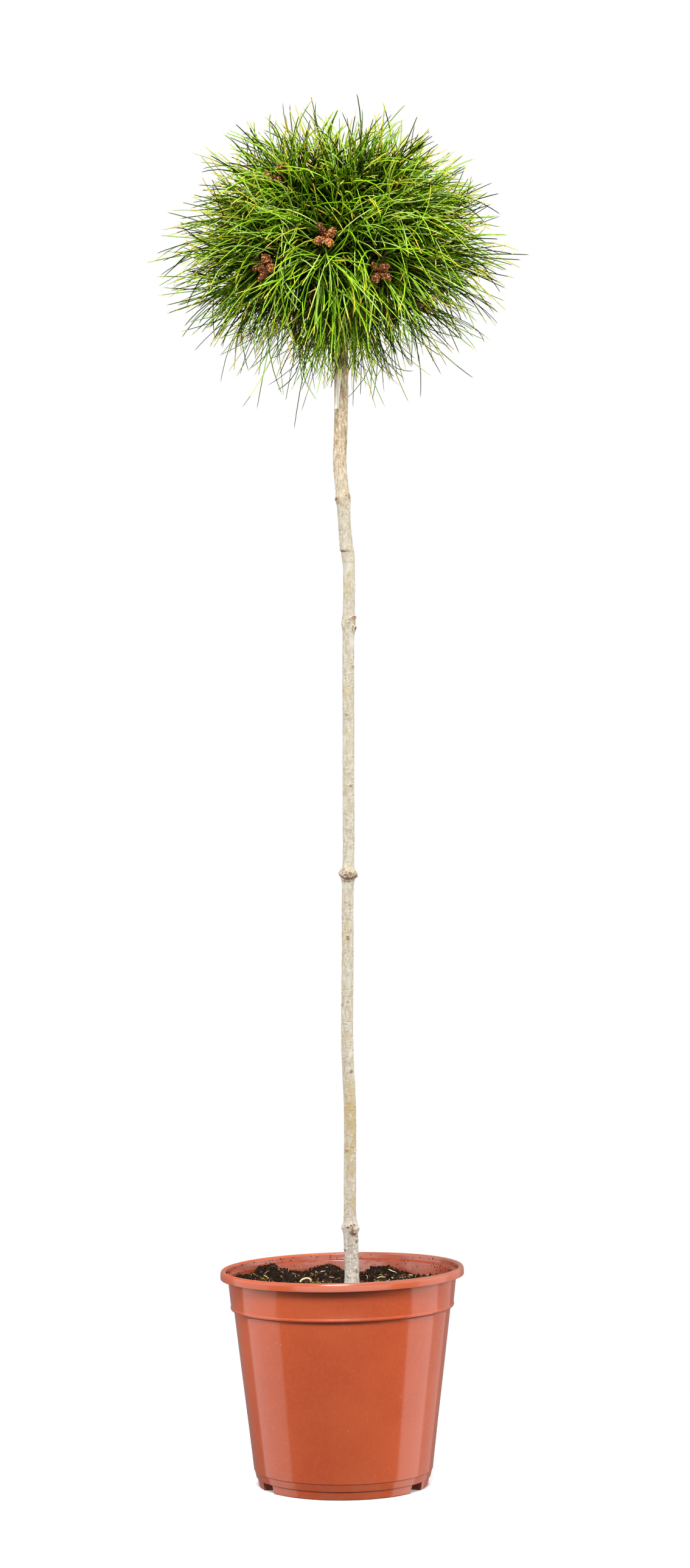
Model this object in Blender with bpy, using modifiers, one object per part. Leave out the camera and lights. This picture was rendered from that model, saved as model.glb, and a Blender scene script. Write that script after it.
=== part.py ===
"""Potted pine: a dense globe of long needles on a bare stem, in a round plastic pot filled with soil.

Metres, +Z up. The origin is the middle of the pot's underside, and the front of the plant faces -Y.
"""

import math
import random

import bmesh
import bpy
from mathutils import Matrix, Vector

GAP = 0.0003

# Pot: outside radii and heights, from the rim down
POT_SIDES = 36
POT_HEIGHT = 0.231
POT_WALL = 0.0018
LIP_RADIUS = 0.130
LIP_FOOT = 0.2218
LEDGE = 0.2245
LEDGE_RADIUS = 0.1236
COLLAR_TOP_RADIUS = 0.1221
COLLAR_FOOT_RADIUS = 0.1187
COLLAR_FOOT = 0.1895
BODY_TOP_RADIUS = 0.1154
BODY_TOP = 0.1855
BODY_FOOT_RADIUS = 0.0955
BODY_FOOT = 0.0172
BAND_FOOT_RADIUS = 0.0930
FOOT_TOP = 0.0090
FOOT_RADIUS = 0.0902
FOOT_THICK = 0.0030
FLOOR = 0.0092
FLOOR_THICK = 0.0024
RIM_RISE = 0.0165  # the full pot sags: its rim stands this much higher per metre towards +X

# Notches in the foot ring (degrees from the front) and drain holes in the floor
NOTCH_ANGLES = (-61.0, 58.0, 180.0)
NOTCH_HEIGHT = 0.0086
NOTCH_WIDTH = 0.020
DRAIN_COUNT = 4
DRAIN_RADIUS = 0.006
DRAIN_CIRCLE = 0.062

# Soil: its level, and mounds as place, height and spread
SOIL_LEVEL = 0.2070
SOIL_RINGS = (0.018, 0.034, 0.050, 0.066, 0.081, 0.095, 0.107)
SOIL_TOP_LIMIT = 0.2215
SOIL_FLAT = 0.028
SOIL_MOUNDS = (
    (-0.080, 0.078, 0.0150, 0.022),
    (-0.015, 0.098, 0.0125, 0.024),
    (0.045, 0.096, 0.0110, 0.022),
    (0.094, 0.040, 0.0070, 0.026),
    (-0.098, 0.005, 0.0065, 0.030),
    (0.040, -0.085, 0.0050, 0.030),
    (-0.050, -0.070, 0.0060, 0.026),
)

# Trunk: bends as height and offset along X, thickness as height and radius, knots as height and bulge
TRUNK_SIDES_STEP = 3  # gives ten sides
TRUNK_TIP = 1.3200
TRUNK_STEPS = 26
FLARE_HEIGHT = 0.012
TRUNK_BENDS = (
    (0.207, 0.0104),
    (0.225, 0.0104),
    (0.295, 0.0088),
    (0.390, 0.0097),
    (0.472, 0.0072),
    (0.600, 0.0085),
    (0.700, 0.0103),
    (0.860, 0.0110),
    (0.972, 0.0126),
    (1.040, 0.0074),
    (1.090, 0.0036),
    (1.155, 0.0056),
    (1.320, 0.0070),
)
TRUNK_THICKNESS = (
    (0.207, 0.0084),
    (0.222, 0.0077),
    (0.262, 0.0076),
    (0.292, 0.0065),
    (0.640, 0.0062),
    (0.960, 0.0062),
    (1.000, 0.0064),
    (1.060, 0.0071),
    (1.190, 0.0074),
    (1.262, 0.0066),
    (1.320, 0.0042),
)
TRUNK_KNOTS = ((0.274, 0.0020), (0.650, 0.0032), (0.918, 0.0012), (0.991, 0.0010), (1.051, 0.0020))
KNOT_HALF = 0.0065

# Crown: its middle, and the reach of its furthest needle tips sideways, up and down
CROWN_MIDDLE = Vector((0.0070, 0.0, 1.3110))
CROWN_SIDE = 0.183
CROWN_TOP = 0.175
CROWN_BELOW = 0.157
HEART = 0.0500  # the boughs' own space, round the crown's middle
STEM_BACK = 0.0060  # how far a mass's stem stands into the heart
TRUNK_SPACE = 0.0125
CELL_MARGIN = 0.0016

# Masses of needles: name, degrees round from +X, degrees up, reach as a share of the crown's
MASSES = (
    ("top", 0.0, 90.0, 1.00),
    ("upper_left", -151.0, 38.0, 1.06),
    ("upper_front", -79.0, 38.0, 1.00),
    ("upper_right", -7.0, 38.0, 0.95),
    ("upper_back_right", 65.0, 38.0, 1.00),
    ("upper_back_left", 137.0, 38.0, 1.03),
    ("lower_front_right", -65.0, -14.0, 1.00),
    ("lower_front_left", -125.0, -14.0, 1.02),
    ("lower_left", 175.0, -14.0, 1.08),
    ("lower_back_left", 115.0, -14.0, 1.00),
    ("lower_back_right", 55.0, -14.0, 1.00),
    ("lower_right", -5.0, -14.0, 1.04),
)

# Boughs: heights on the trunk, taken in turn round it, and radii
UPPER_BOUGH_HEIGHTS = (1.303, 1.312)
LOWER_BOUGH_HEIGHTS = (1.279, 1.291)
BOUGH_RADIUS = 0.0034
BOUGH_TIP_RADIUS = 0.0026
BOUGH_STRAIGHT = 0.0040  # at each end

# Shoots and needles
SEED = 41
SHOOT_COUNT = 96
SHOOT_LOWEST = -60.0
SHOOT_TURN = 0.10
NEEDLE_REACH = 0.068  # from a shoot's tip to the crown's outline
CORE_BACK = 0.003  # from a shoot's tip back to the core's surface
CORE_STEP = 0.001
SHOOT_RADIUS = 0.0024
NEEDLES_PER_SHOOT = 12
NEEDLE_LENGTH = 0.084
NEEDLE_RADIUS = 0.0026
NEEDLE_SEAT = 0.012  # from the shoot's tip back to its foremost needle's root
NEEDLE_SPREAD = 0.014  # from there back to its hindmost one
NEEDLE_TRIES = 16
NEEDLE_CHECKS = 6
NEEDLE_MARGIN = 0.0028
SHOOT_MARGIN = 0.0045
LEAN_TIP = 10.0  # degrees between a shoot and its foremost needle
LEAN_ROOT = 72.0  # and its hindmost one
LEAN_SPREAD = 12.0
GOLDEN_ANGLE = math.pi * (3.0 - math.sqrt(5.0))

# Clusters of brown buds: degrees round from +X and degrees up
BUD_CLUSTERS = (
    (-98.7, 13.0),
    (-142.8, -6.0),
    (-65.0, -18.0),
    (-151.6, 48.0),
    (20.0, 22.0),
    (84.0, -4.0),
    (150.0, 30.0),
)
BUD_RADIUS = 0.0058
BUD_HALF_LENGTH = 0.0115
BUD_OUT = 0.004

TERRACOTTA = (0.53, 0.105, 0.045)
PEAT = (0.028, 0.017, 0.012)
BARK = (0.55, 0.46, 0.35)
BOUGH_BARK = (0.30, 0.20, 0.12)
PINE_GREEN = (0.12, 0.19, 0.02)


def clear_scene():
    for item in list(bpy.data.objects):
        bpy.data.objects.remove(item, do_unlink=True)


def collection(name):
    made = bpy.data.collections.new(name)
    bpy.context.scene.collection.children.link(made)
    return made


def material(name, colour, roughness):
    made = bpy.data.materials.new(name)
    made.use_nodes = True
    shader = made.node_tree.nodes["Principled BSDF"]
    shader.inputs["Base Color"].default_value = (*colour, 1.0)
    shader.inputs["Roughness"].default_value = roughness
    shader.inputs["Metallic"].default_value = 0.0
    return made


def new_object(name, mesh, place, look=None):
    made = bpy.data.objects.new(name, mesh)
    place.objects.link(made)
    if look is not None:
        mesh.materials.clear()
        mesh.materials.append(look)
    return made


def evaluated_mesh(item):
    """The mesh as its modifiers leave it, with doubled points welded."""
    depsgraph = bpy.context.evaluated_depsgraph_get()
    mesh = bpy.data.meshes.new_from_object(item.evaluated_get(depsgraph))
    shape = bmesh.new()
    shape.from_mesh(mesh)
    bmesh.ops.remove_doubles(shape, verts=shape.verts, dist=0.000002)
    shape.to_mesh(mesh)
    shape.free()
    return mesh


def drop_scraps(mesh):
    """Keeps only the largest of a mesh's separate bodies."""
    shape = bmesh.new()
    shape.from_mesh(mesh)
    left = set(shape.verts)
    groups = []
    while left:
        group = []
        open_ends = [left.pop()]
        while open_ends:
            vertex = open_ends.pop()
            group.append(vertex)
            for edge in vertex.link_edges:
                other = edge.other_vert(vertex)
                if other in left:
                    left.discard(other)
                    open_ends.append(other)
        groups.append(group)
    groups.sort(key=len, reverse=True)
    for group in groups[1:]:
        bmesh.ops.delete(shape, geom=group, context="VERTS")
    shape.to_mesh(mesh)
    shape.free()


def replace_mesh(item, mesh):
    """Gives the object a finished mesh and drops its modifiers."""
    item.modifiers.clear()
    item.data = mesh


def blend(table, at):
    """The value of a table of (place, value) pairs, with smooth steps between its rows."""
    if at <= table[0][0]:
        return table[0][1]
    for (low, first), (high, second) in zip(table, table[1:]):
        if at <= high:
            share = (at - low) / (high - low)
            share = share * share * (3.0 - 2.0 * share)
            return first + (second - first) * share
    return table[-1][1]


# Pot and soil


def inner_radius(height):
    """Radius of the pot's inner wall at a height."""
    wall = (
        (BODY_FOOT, BODY_FOOT_RADIUS - POT_WALL),
        (BODY_TOP - 0.0010, BODY_TOP_RADIUS - POT_WALL),
        (COLLAR_FOOT - 0.0010, COLLAR_FOOT_RADIUS - POT_WALL),
        (LEDGE - 0.0015, COLLAR_TOP_RADIUS - POT_WALL),
    )
    for (low, first), (high, second) in zip(wall, wall[1:]):
        if height <= high:
            return first + (second - first) * (height - low) / (high - low)
    return wall[-1][1]


def turned(name, profile, place, look):
    """A solid turned about Z from a profile that starts and ends on the axis or closes there."""
    mesh = bpy.data.meshes.new(name)
    points = [(radius, 0.0, height) for radius, height in profile]
    mesh.from_pydata(points, [(i, i + 1) for i in range(len(points) - 1)], [])
    item = new_object(name, mesh, place, look)
    screw = item.modifiers.new("turn", "SCREW")
    screw.steps = POT_SIDES
    screw.render_steps = POT_SIDES
    screw.use_merge_vertices = True
    screw.merge_threshold = 0.0001
    screw.use_smooth_shade = True
    return item


def rise_at(x, y, height):
    """How much the sagging pot stands higher at a place: more towards +X and towards the rim."""
    return x * RIM_RISE * height / POT_HEIGHT


def sag(mesh):
    for vertex in mesh.vertices:
        vertex.co.z += rise_at(*vertex.co)


def pot_profile():
    """Radius and height: up the inside from the floor, over the lip, and down the outside to the floor."""
    inside_heights = (BODY_TOP - 0.001, COLLAR_FOOT - 0.001, LEDGE - 0.0015)
    return (
        [(0.0, FLOOR + FLOOR_THICK), (BAND_FOOT_RADIUS - POT_WALL, FLOOR + FLOOR_THICK)]
        + [(inner_radius(height), height) for height in inside_heights]
        + [
            (LEDGE_RADIUS, LEDGE),
            (LEDGE_RADIUS + 0.0007, POT_HEIGHT - 0.0015),
            (LIP_RADIUS - 0.0040, POT_HEIGHT),
            (LIP_RADIUS - 0.0016, POT_HEIGHT - 0.0006),
            (LIP_RADIUS, POT_HEIGHT - 0.0030),
            (LIP_RADIUS, LIP_FOOT),
            (COLLAR_TOP_RADIUS, LIP_FOOT),
            (COLLAR_FOOT_RADIUS, COLLAR_FOOT),
            (BODY_TOP_RADIUS, BODY_TOP),
            (BODY_FOOT_RADIUS, BODY_FOOT),
            (BODY_FOOT_RADIUS - 0.0007, BODY_FOOT - 0.0006),
            (BAND_FOOT_RADIUS, FOOT_TOP),
            (BAND_FOOT_RADIUS - 0.0012, FOOT_TOP - 0.0004),
            (FOOT_RADIUS, 0.0),
            (FOOT_RADIUS - FOOT_THICK, 0.0),
            (FOOT_RADIUS - FOOT_THICK, FLOOR),
            (0.0, FLOOR),
        ]
    )


def cutter(name, place, mesh):
    item = new_object(name, mesh, place)
    item.hide_render = True
    item.display_type = "WIRE"
    return item


def notch_cutter(angle, place):
    """A box that cuts the foot ring at an angle from the front."""
    shape = bmesh.new()
    bmesh.ops.create_cube(shape, size=1.0)
    bmesh.ops.scale(shape, vec=(0.012, NOTCH_WIDTH, NOTCH_HEIGHT + 0.002), verts=shape.verts)
    middle = (FOOT_RADIUS - 0.0005, 0.0, NOTCH_HEIGHT / 2.0 - 0.001)
    bmesh.ops.translate(shape, vec=middle, verts=shape.verts)
    turn = Matrix.Rotation(math.radians(angle - 90.0), 4, "Z")
    bmesh.ops.transform(shape, matrix=turn, verts=shape.verts)
    mesh = bpy.data.meshes.new("notch")
    shape.to_mesh(mesh)
    shape.free()
    return cutter("cut_notch", place, mesh)


def drain_cutter(index, place):
    """A round bar through the floor."""
    angle = math.tau * (index + 0.5) / DRAIN_COUNT
    shape = bmesh.new()
    depth = 4.0 * FLOOR_THICK
    bmesh.ops.create_cone(
        shape, cap_ends=True, segments=10, radius1=DRAIN_RADIUS, radius2=DRAIN_RADIUS, depth=depth
    )
    middle = (DRAIN_CIRCLE * math.cos(angle), DRAIN_CIRCLE * math.sin(angle), FLOOR + FLOOR_THICK / 2.0)
    bmesh.ops.translate(shape, vec=middle, verts=shape.verts)
    mesh = bpy.data.meshes.new("drain")
    shape.to_mesh(mesh)
    shape.free()
    return cutter("cut_drain", place, mesh)


def make_pot(place, cutters, look):
    item = turned("pot", pot_profile(), place, look)
    tools = [notch_cutter(angle, cutters) for angle in NOTCH_ANGLES]
    tools += [drain_cutter(index, cutters) for index in range(DRAIN_COUNT)]
    for tool in tools:
        cut = item.modifiers.new("cut", "BOOLEAN")
        cut.operation = "DIFFERENCE"
        cut.object = tool
        cut.solver = "EXACT"
    mesh = evaluated_mesh(item)
    replace_mesh(item, mesh)
    sag(mesh)
    mesh.shade_smooth()
    mesh.set_sharp_from_angle(angle=math.radians(30.0))
    return item


def soil_height(x, y):
    """Level of the soil's top: flat round the trunk, with mounds towards the wall."""
    level = SOIL_LEVEL
    for mound_x, mound_y, height, spread in SOIL_MOUNDS:
        away = math.hypot(x - mound_x, y - mound_y) / spread
        level += height * math.exp(-away * away)
    level += 0.0012 * math.sin(95.0 * x + 40.0 * y) * math.sin(70.0 * y - 30.0 * x)
    from_trunk = math.hypot(x - TRUNK_BENDS[0][1], y)
    share = min(max((from_trunk - SOIL_FLAT) / 0.02, 0.0), 1.0)
    return min(SOIL_LEVEL + (level - SOIL_LEVEL) * share, SOIL_TOP_LIMIT)


def make_soil(place, look):
    floor = FLOOR + FLOOR_THICK + GAP
    edge = inner_radius(SOIL_LEVEL) - GAP
    profile = [(0.0, SOIL_LEVEL)] + [(radius, SOIL_LEVEL) for radius in SOIL_RINGS] + [(edge, SOIL_LEVEL)]
    for height in (COLLAR_FOOT - 0.001, BODY_TOP - 0.001):
        profile.append((inner_radius(height) - GAP, height))
    profile.append((BAND_FOOT_RADIUS - POT_WALL - GAP, floor))
    profile.append((0.0, floor))
    item = turned("soil", profile, place, look)
    mesh = evaluated_mesh(item)
    replace_mesh(item, mesh)
    for vertex in mesh.vertices:
        if vertex.co.z < SOIL_LEVEL - 0.001:
            continue
        x, y = vertex.co.x, vertex.co.y
        vertex.co.z = soil_height(x, y)
        radius = math.hypot(x, y)
        if radius > SOIL_RINGS[-1] + 0.002:
            grow = (inner_radius(vertex.co.z) - GAP) / edge
            vertex.co.x = x * grow
            vertex.co.y = y * grow
    sag(mesh)
    mesh.shade_smooth()
    return item


# Trunk and boughs


def trunk_point(height):
    return Vector((blend(TRUNK_BENDS, height), 0.0, height))


def trunk_radius(height):
    radius = blend(TRUNK_THICKNESS, height)
    for knot, bulge in TRUNK_KNOTS:
        away = (height - knot) / KNOT_HALF
        radius += bulge * math.exp(-away * away)
    return radius


def trunk_heights():
    """Heights of the trunk's rings: its foot, even steps, four more at each knot, and its tip."""
    under = [TRUNK_BENDS[0][1] + blend(TRUNK_THICKNESS, SOIL_LEVEL), 0.0, SOIL_LEVEL]
    start = SOIL_LEVEL + rise_at(*under) + GAP
    flare = start + FLARE_HEIGHT
    heights = [flare + (TRUNK_TIP - flare) * index / TRUNK_STEPS for index in range(1, TRUNK_STEPS)]
    for knot, _ in TRUNK_KNOTS:
        heights = [height for height in heights if abs(height - knot) > 2.2 * KNOT_HALF]
        heights += [knot + step * KNOT_HALF for step in (-1.5, -0.4, 0.4, 1.5)]
    return [start, start + FLARE_HEIGHT / 2.0, flare] + sorted(heights) + [TRUNK_TIP]


def tube_mesh(name, points, radii, sides_step):
    """A tube along a path with a radius at each point, closed at both ends."""
    curve = bpy.data.curves.new(name, "CURVE")
    curve.dimensions = "3D"
    curve.bevel_depth = 1.0
    curve.bevel_resolution = sides_step
    curve.use_fill_caps = True
    spline = curve.splines.new("POLY")
    spline.points.add(len(points) - 1)
    for knot, point, radius in zip(spline.points, points, radii):
        knot.co = (*point, 1.0)
        knot.radius = radius
    guide = bpy.data.objects.new(name, curve)
    bpy.context.scene.collection.objects.link(guide)
    mesh = evaluated_mesh(guide)
    bpy.data.objects.remove(guide, do_unlink=True)
    return mesh


def make_trunk(place, look):
    heights = trunk_heights()
    points = [trunk_point(height) for height in heights]
    mesh = tube_mesh("trunk", points, [trunk_radius(height) for height in heights], TRUNK_SIDES_STEP)
    item = new_object("trunk", mesh, place, look)
    mesh.shade_smooth()
    mesh.set_sharp_from_angle(angle=math.radians(60.0))
    return item


def heading(azimuth, elevation):
    """Unit vector from degrees round from +X and degrees up."""
    around = math.radians(azimuth)
    up = math.radians(elevation)
    return Vector((math.cos(up) * math.cos(around), math.cos(up) * math.sin(around), math.sin(up)))


def bough_path(azimuth, way, height):
    """From the trunk's side out level, then round to the mass's own direction."""
    out = heading(azimuth, 0.0)
    start = trunk_point(height) + out * (trunk_radius(height - BOUGH_RADIUS) + GAP)
    level = start + out * BOUGH_STRAIGHT
    tip = CROWN_MIDDLE + way * (HEART - STEM_BACK - GAP)
    end = tip - way * BOUGH_STRAIGHT
    after = level + out * 0.008
    before = end - way * 0.012
    points = [start]
    for index in range(5):
        share = index / 4.0
        keep = 1.0 - share
        outer = level * keep**3 + end * share**3
        inner = after * 3.0 * keep**2 * share + before * 3.0 * keep * share**2
        points.append(outer + inner)
    return points + [tip]


def make_boughs(place, look):
    """One bough for each mass but the top one, which the trunk's tip carries."""
    for index, (name, azimuth, elevation, _) in enumerate(MASSES[1:]):
        heights = UPPER_BOUGH_HEIGHTS if elevation > 0.0 else LOWER_BOUGH_HEIGHTS
        points = bough_path(azimuth, heading(azimuth, elevation), heights[index % 2])
        taper = (BOUGH_TIP_RADIUS - BOUGH_RADIUS) / (len(points) - 1)
        radii = [BOUGH_RADIUS + taper * step for step in range(len(points))]
        mesh = tube_mesh("bough_" + name, points, radii, 1)
        mesh.shade_smooth()
        mesh.set_sharp_from_angle(angle=math.radians(60.0))
        new_object("bough_" + name, mesh, place, look)


# Masses of needles


def crown_reach(way, reach):
    """Distance from the crown's middle to its furthest tips in a direction."""
    rise = CROWN_TOP if way.z > 0.0 else CROWN_BELOW
    level = math.hypot(way.x, way.y)
    return reach / math.sqrt((level / CROWN_SIDE) ** 2 + (way.z / rise) ** 2)


def mass_ways():
    return [heading(azimuth, elevation) for _, azimuth, elevation, _ in MASSES]


def cell_planes(index):
    """Normals, pointing into a mass, of the planes through the crown's middle that part it from the rest."""
    ways = mass_ways()
    own = ways[index]
    return [(own - other).normalized() for spot, other in enumerate(ways) if spot != index]


def trunk_side(index):
    """Level direction away from the trunk for a mass beside it, or None for the top one."""
    _, azimuth, elevation, _ = MASSES[index]
    return None if elevation > 80.0 else heading(azimuth, 0.0)


def inside(point, index, planes, reach, margin):
    """Whether a point keeps to its mass's own space."""
    from_middle = point - CROWN_MIDDLE
    if any(from_middle.dot(normal) < margin for normal in planes):
        return False
    side = trunk_side(index)
    if side is not None and from_middle.dot(side) < TRUNK_SPACE:
        return False
    return from_middle.length <= crown_reach(from_middle.normalized(), reach)


def in_core(point, planes, side, reach):
    """Whether a point lies between the heart and the shoot tips, and in the mass's own space."""
    from_middle = point - CROWN_MIDDLE
    far = crown_reach(from_middle.normalized(), reach) - NEEDLE_REACH - CORE_BACK
    if not HEART < from_middle.length < far:
        return False
    if any(from_middle.dot(normal) < CELL_MARGIN for normal in planes):
        return False
    return side is None or from_middle.dot(side) >= TRUNK_SPACE


def core_mesh(index, planes, reach):
    """A lump that fills the heart of the mass's space, out to just under its shoot tips."""
    way = mass_ways()[index]
    far = crown_reach(way, reach) - NEEDLE_REACH - CORE_BACK
    middle = CROWN_MIDDLE + way * (HEART + far) / 2.0
    side = trunk_side(index)
    shape = bmesh.new()
    bmesh.ops.create_icosphere(shape, subdivisions=2, radius=1.0)
    for vertex in shape.verts:
        out = vertex.co.normalized()
        length = 2.0 * CORE_STEP
        while in_core(middle + out * length, planes, side, reach):
            length += CORE_STEP
        vertex.co = middle + out * (length - CORE_STEP)
    mesh = bpy.data.meshes.new("core")
    shape.to_mesh(mesh)
    shape.free()
    return mesh, middle


def spike_mesh(start, end, start_radius, end_radius, sides=3, turn=0.0):
    """A thin tapering bar, or a pyramid where the end radius is zero."""
    along = end - start
    shape = bmesh.new()
    bmesh.ops.create_cone(
        shape, cap_ends=True, segments=sides, radius1=start_radius, radius2=end_radius, depth=along.length
    )
    bmesh.ops.remove_doubles(shape, verts=shape.verts, dist=0.000002)
    place = Matrix.Translation((start + end) / 2.0) @ along.to_track_quat("Z", "Y").to_matrix().to_4x4()
    bmesh.ops.transform(shape, matrix=place @ Matrix.Rotation(turn, 4, "Z"), verts=shape.verts)
    mesh = bpy.data.meshes.new("spike")
    shape.to_mesh(mesh)
    shape.free()
    return mesh


def bud_mesh(middle, way):
    """A brown cluster: a long lump round a shoot's tip."""
    shape = bmesh.new()
    bmesh.ops.create_icosphere(shape, subdivisions=1, radius=1.0)
    stretch = Matrix.Diagonal((BUD_RADIUS, BUD_RADIUS, BUD_HALF_LENGTH, 1.0))
    turn = way.to_track_quat("Z", "Y").to_matrix().to_4x4()
    bmesh.ops.transform(shape, matrix=Matrix.Translation(middle) @ turn @ stretch, verts=shape.verts)
    mesh = bpy.data.meshes.new("bud")
    shape.to_mesh(mesh)
    shape.free()
    return mesh


def shoot_ways():
    """Directions of the shoots: an even spiral over the crown, nudged, then those that carry clusters."""
    chance = random.Random(SEED)
    found = []
    for index in range(SHOOT_COUNT):
        rise = 1.0 - 2.0 * (index + 0.5) / SHOOT_COUNT
        around = index * GOLDEN_ANGLE
        level = math.sqrt(1.0 - rise * rise)
        nudge = Vector((chance.gauss(0, 1), chance.gauss(0, 1), chance.gauss(0, 1))) * SHOOT_TURN
        way = (Vector((level * math.cos(around), level * math.sin(around), rise)) + nudge).normalized()
        if math.degrees(math.asin(way.z)) > SHOOT_LOWEST:
            found.append((way, False))
    for azimuth, elevation in BUD_CLUSTERS:
        found.append((heading(azimuth, elevation), True))
    return found


def nearest_mass(way):
    ways = mass_ways()
    return max(range(len(ways)), key=lambda spot: ways[spot].dot(way))


def needle_ways(chance, shoot, number):
    """Directions to try for one needle: round the shoot, and wider towards the shoot's root."""
    share = number / (NEEDLES_PER_SHOOT - 1.0)
    side = shoot.orthogonal().normalized()
    for _ in range(NEEDLE_TRIES):
        around = number * GOLDEN_ANGLE + chance.uniform(-0.6, 0.6)
        spread = chance.uniform(-LEAN_SPREAD, LEAN_SPREAD)
        lean = math.radians(LEAN_ROOT + (LEAN_TIP - LEAN_ROOT) * share + spread)
        across = Matrix.Rotation(around, 3, shoot) @ side
        yield (shoot * math.cos(lean) + across * math.sin(lean)).normalized(), share


def grow_needles(chance, tip, root, index, planes, reach):
    """Needles of one shoot that keep to the mass's space, each as start, end and turn."""
    shoot = (tip - root).normalized()
    found = []
    for number in range(NEEDLES_PER_SHOOT):
        for way, share in needle_ways(chance, shoot, number):
            seat = tip - shoot * (NEEDLE_SEAT + (1.0 - share) * NEEDLE_SPREAD)
            length = NEEDLE_LENGTH * chance.uniform(0.86, 1.12)
            end = seat + way * length
            checks = [seat + way * length * step / NEEDLE_CHECKS for step in range(1, NEEDLE_CHECKS + 1)]
            if all(inside(point, index, planes, reach, NEEDLE_MARGIN) for point in checks):
                found.append((seat, end, chance.uniform(0.0, math.tau)))
                break
    return found


def join(name, body, others, place, look):
    """One union of a body with everything in a collection, which is then removed."""
    pieces = collection("join_" + name)
    for mesh in others:
        new_object("piece", mesh, pieces)
    item = new_object(name, body, place, look)
    union = item.modifiers.new("union", "BOOLEAN")
    union.operation = "UNION"
    union.operand_type = "COLLECTION"
    union.collection = pieces
    union.solver = "MANIFOLD"
    mesh = evaluated_mesh(item)
    drop_scraps(mesh)
    replace_mesh(item, mesh)
    mesh.materials.clear()
    mesh.materials.append(look)
    for piece in list(pieces.objects):
        bpy.data.objects.remove(piece, do_unlink=True)
    bpy.data.collections.remove(pieces)
    return item


def make_mass(index, shoots, place, look):
    name, _, elevation, reach = MASSES[index]
    chance = random.Random(SEED + 100 + index)
    planes = cell_planes(index)
    way = mass_ways()[index]
    core, middle = core_mesh(index, planes, reach)
    stem_start = CROWN_MIDDLE + way * (HEART - STEM_BACK)
    if elevation > 80.0:
        stem_start = trunk_point(TRUNK_TIP) + Vector((0.0, 0.0, GAP))
    pieces = [spike_mesh(stem_start, middle, BOUGH_TIP_RADIUS, BOUGH_TIP_RADIUS * 0.8, sides=6)]
    for direction, carries_buds in shoots:
        out = crown_reach(direction, reach) - NEEDLE_REACH
        tip = CROWN_MIDDLE + direction * out
        if not inside(tip, index, planes, reach, SHOOT_MARGIN):
            continue
        pieces.append(spike_mesh(middle, tip, SHOOT_RADIUS * 1.3, SHOOT_RADIUS * 0.6))
        if carries_buds:
            pieces.append(bud_mesh(tip + direction * BUD_OUT, direction))
        for start, end, turn in grow_needles(chance, tip, middle, index, planes, reach):
            pieces.append(spike_mesh(start, end, NEEDLE_RADIUS, 0.0, turn=turn))
    return join("needles_" + name, core, pieces, place, look)


def make_masses(place, look):
    shoots = shoot_ways()
    for index in range(len(MASSES)):
        own = [shoot for shoot in shoots if nearest_mass(shoot[0]) == index]
        make_mass(index, own, place, look)


def main():
    clear_scene()
    place = collection("potted_pine")
    cutters = collection("cutters")
    make_pot(place, cutters, material("terracotta_plastic", TERRACOTTA, 0.30))
    make_soil(place, material("peat", PEAT, 0.95))
    make_trunk(place, material("bark", BARK, 0.80))
    make_boughs(place, material("bough_bark", BOUGH_BARK, 0.85))
    make_masses(place, material("needles", PINE_GREEN, 0.50))


main()
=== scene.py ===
"""Looks of a potted pine: a globe of long needles on a bare stem, in a round plastic pot of peat.

Metres, +Z up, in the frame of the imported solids. The front of the plant faces -Y.
"""

import math
import random
from dataclasses import dataclass

import bmesh
import bpy
import numpy as np
from mathutils import Matrix, Vector, noise


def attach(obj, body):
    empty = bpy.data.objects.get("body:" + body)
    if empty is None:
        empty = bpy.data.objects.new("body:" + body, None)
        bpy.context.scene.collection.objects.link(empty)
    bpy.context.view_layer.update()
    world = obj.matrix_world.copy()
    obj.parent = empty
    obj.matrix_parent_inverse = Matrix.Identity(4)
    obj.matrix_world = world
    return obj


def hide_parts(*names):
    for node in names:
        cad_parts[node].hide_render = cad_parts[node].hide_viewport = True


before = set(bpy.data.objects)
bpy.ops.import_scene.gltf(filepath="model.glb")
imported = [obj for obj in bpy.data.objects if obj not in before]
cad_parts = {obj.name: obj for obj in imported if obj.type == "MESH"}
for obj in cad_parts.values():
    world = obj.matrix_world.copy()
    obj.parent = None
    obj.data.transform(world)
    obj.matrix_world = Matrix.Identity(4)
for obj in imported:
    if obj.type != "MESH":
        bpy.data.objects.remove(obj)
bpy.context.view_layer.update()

bl_info = {
    "name": "Potted Pine",
    "version": (1, 0, 0),
    "blender": (4, 5, 0),
    "location": "3D View > Sidebar > Potted Pine",
    "description": "Builds a potted pine: its pot, soil, stem, boughs, needles and studio",
    "category": "Object",
}

BODY = "root"
GAP = 0.0003

# Pot: outside radii and heights, from the rim down
POT_SIDES = 168
POT_HEIGHT = 0.231
POT_WALL = 0.0018
LIP_RADIUS = 0.130
LIP_FOOT = 0.2218
LEDGE = 0.2245
LEDGE_RADIUS = 0.1236
COLLAR_TOP_RADIUS = 0.1221
COLLAR_FOOT_RADIUS = 0.1187
COLLAR_FOOT = 0.1895
BODY_TOP_RADIUS = 0.1154
BODY_TOP = 0.1855
BODY_FOOT_RADIUS = 0.0955
BODY_FOOT = 0.0172
BAND_FOOT_RADIUS = 0.0930
FOOT_TOP = 0.0090
FOOT_RADIUS = 0.0902
FOOT_THICK = 0.0030
FLOOR = 0.0092
FLOOR_THICK = 0.0024
RIM_RISE = 0.0165
NOTCH_ANGLES = (-61.0, 58.0, 180.0)
NOTCH_HEIGHT = 0.0086
NOTCH_WIDTH = 0.020
NOTCH_DEPTH = 0.012
NOTCH_FLARE = 1.12  # how much wider at the ground
DRAIN_COUNT = 4
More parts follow.
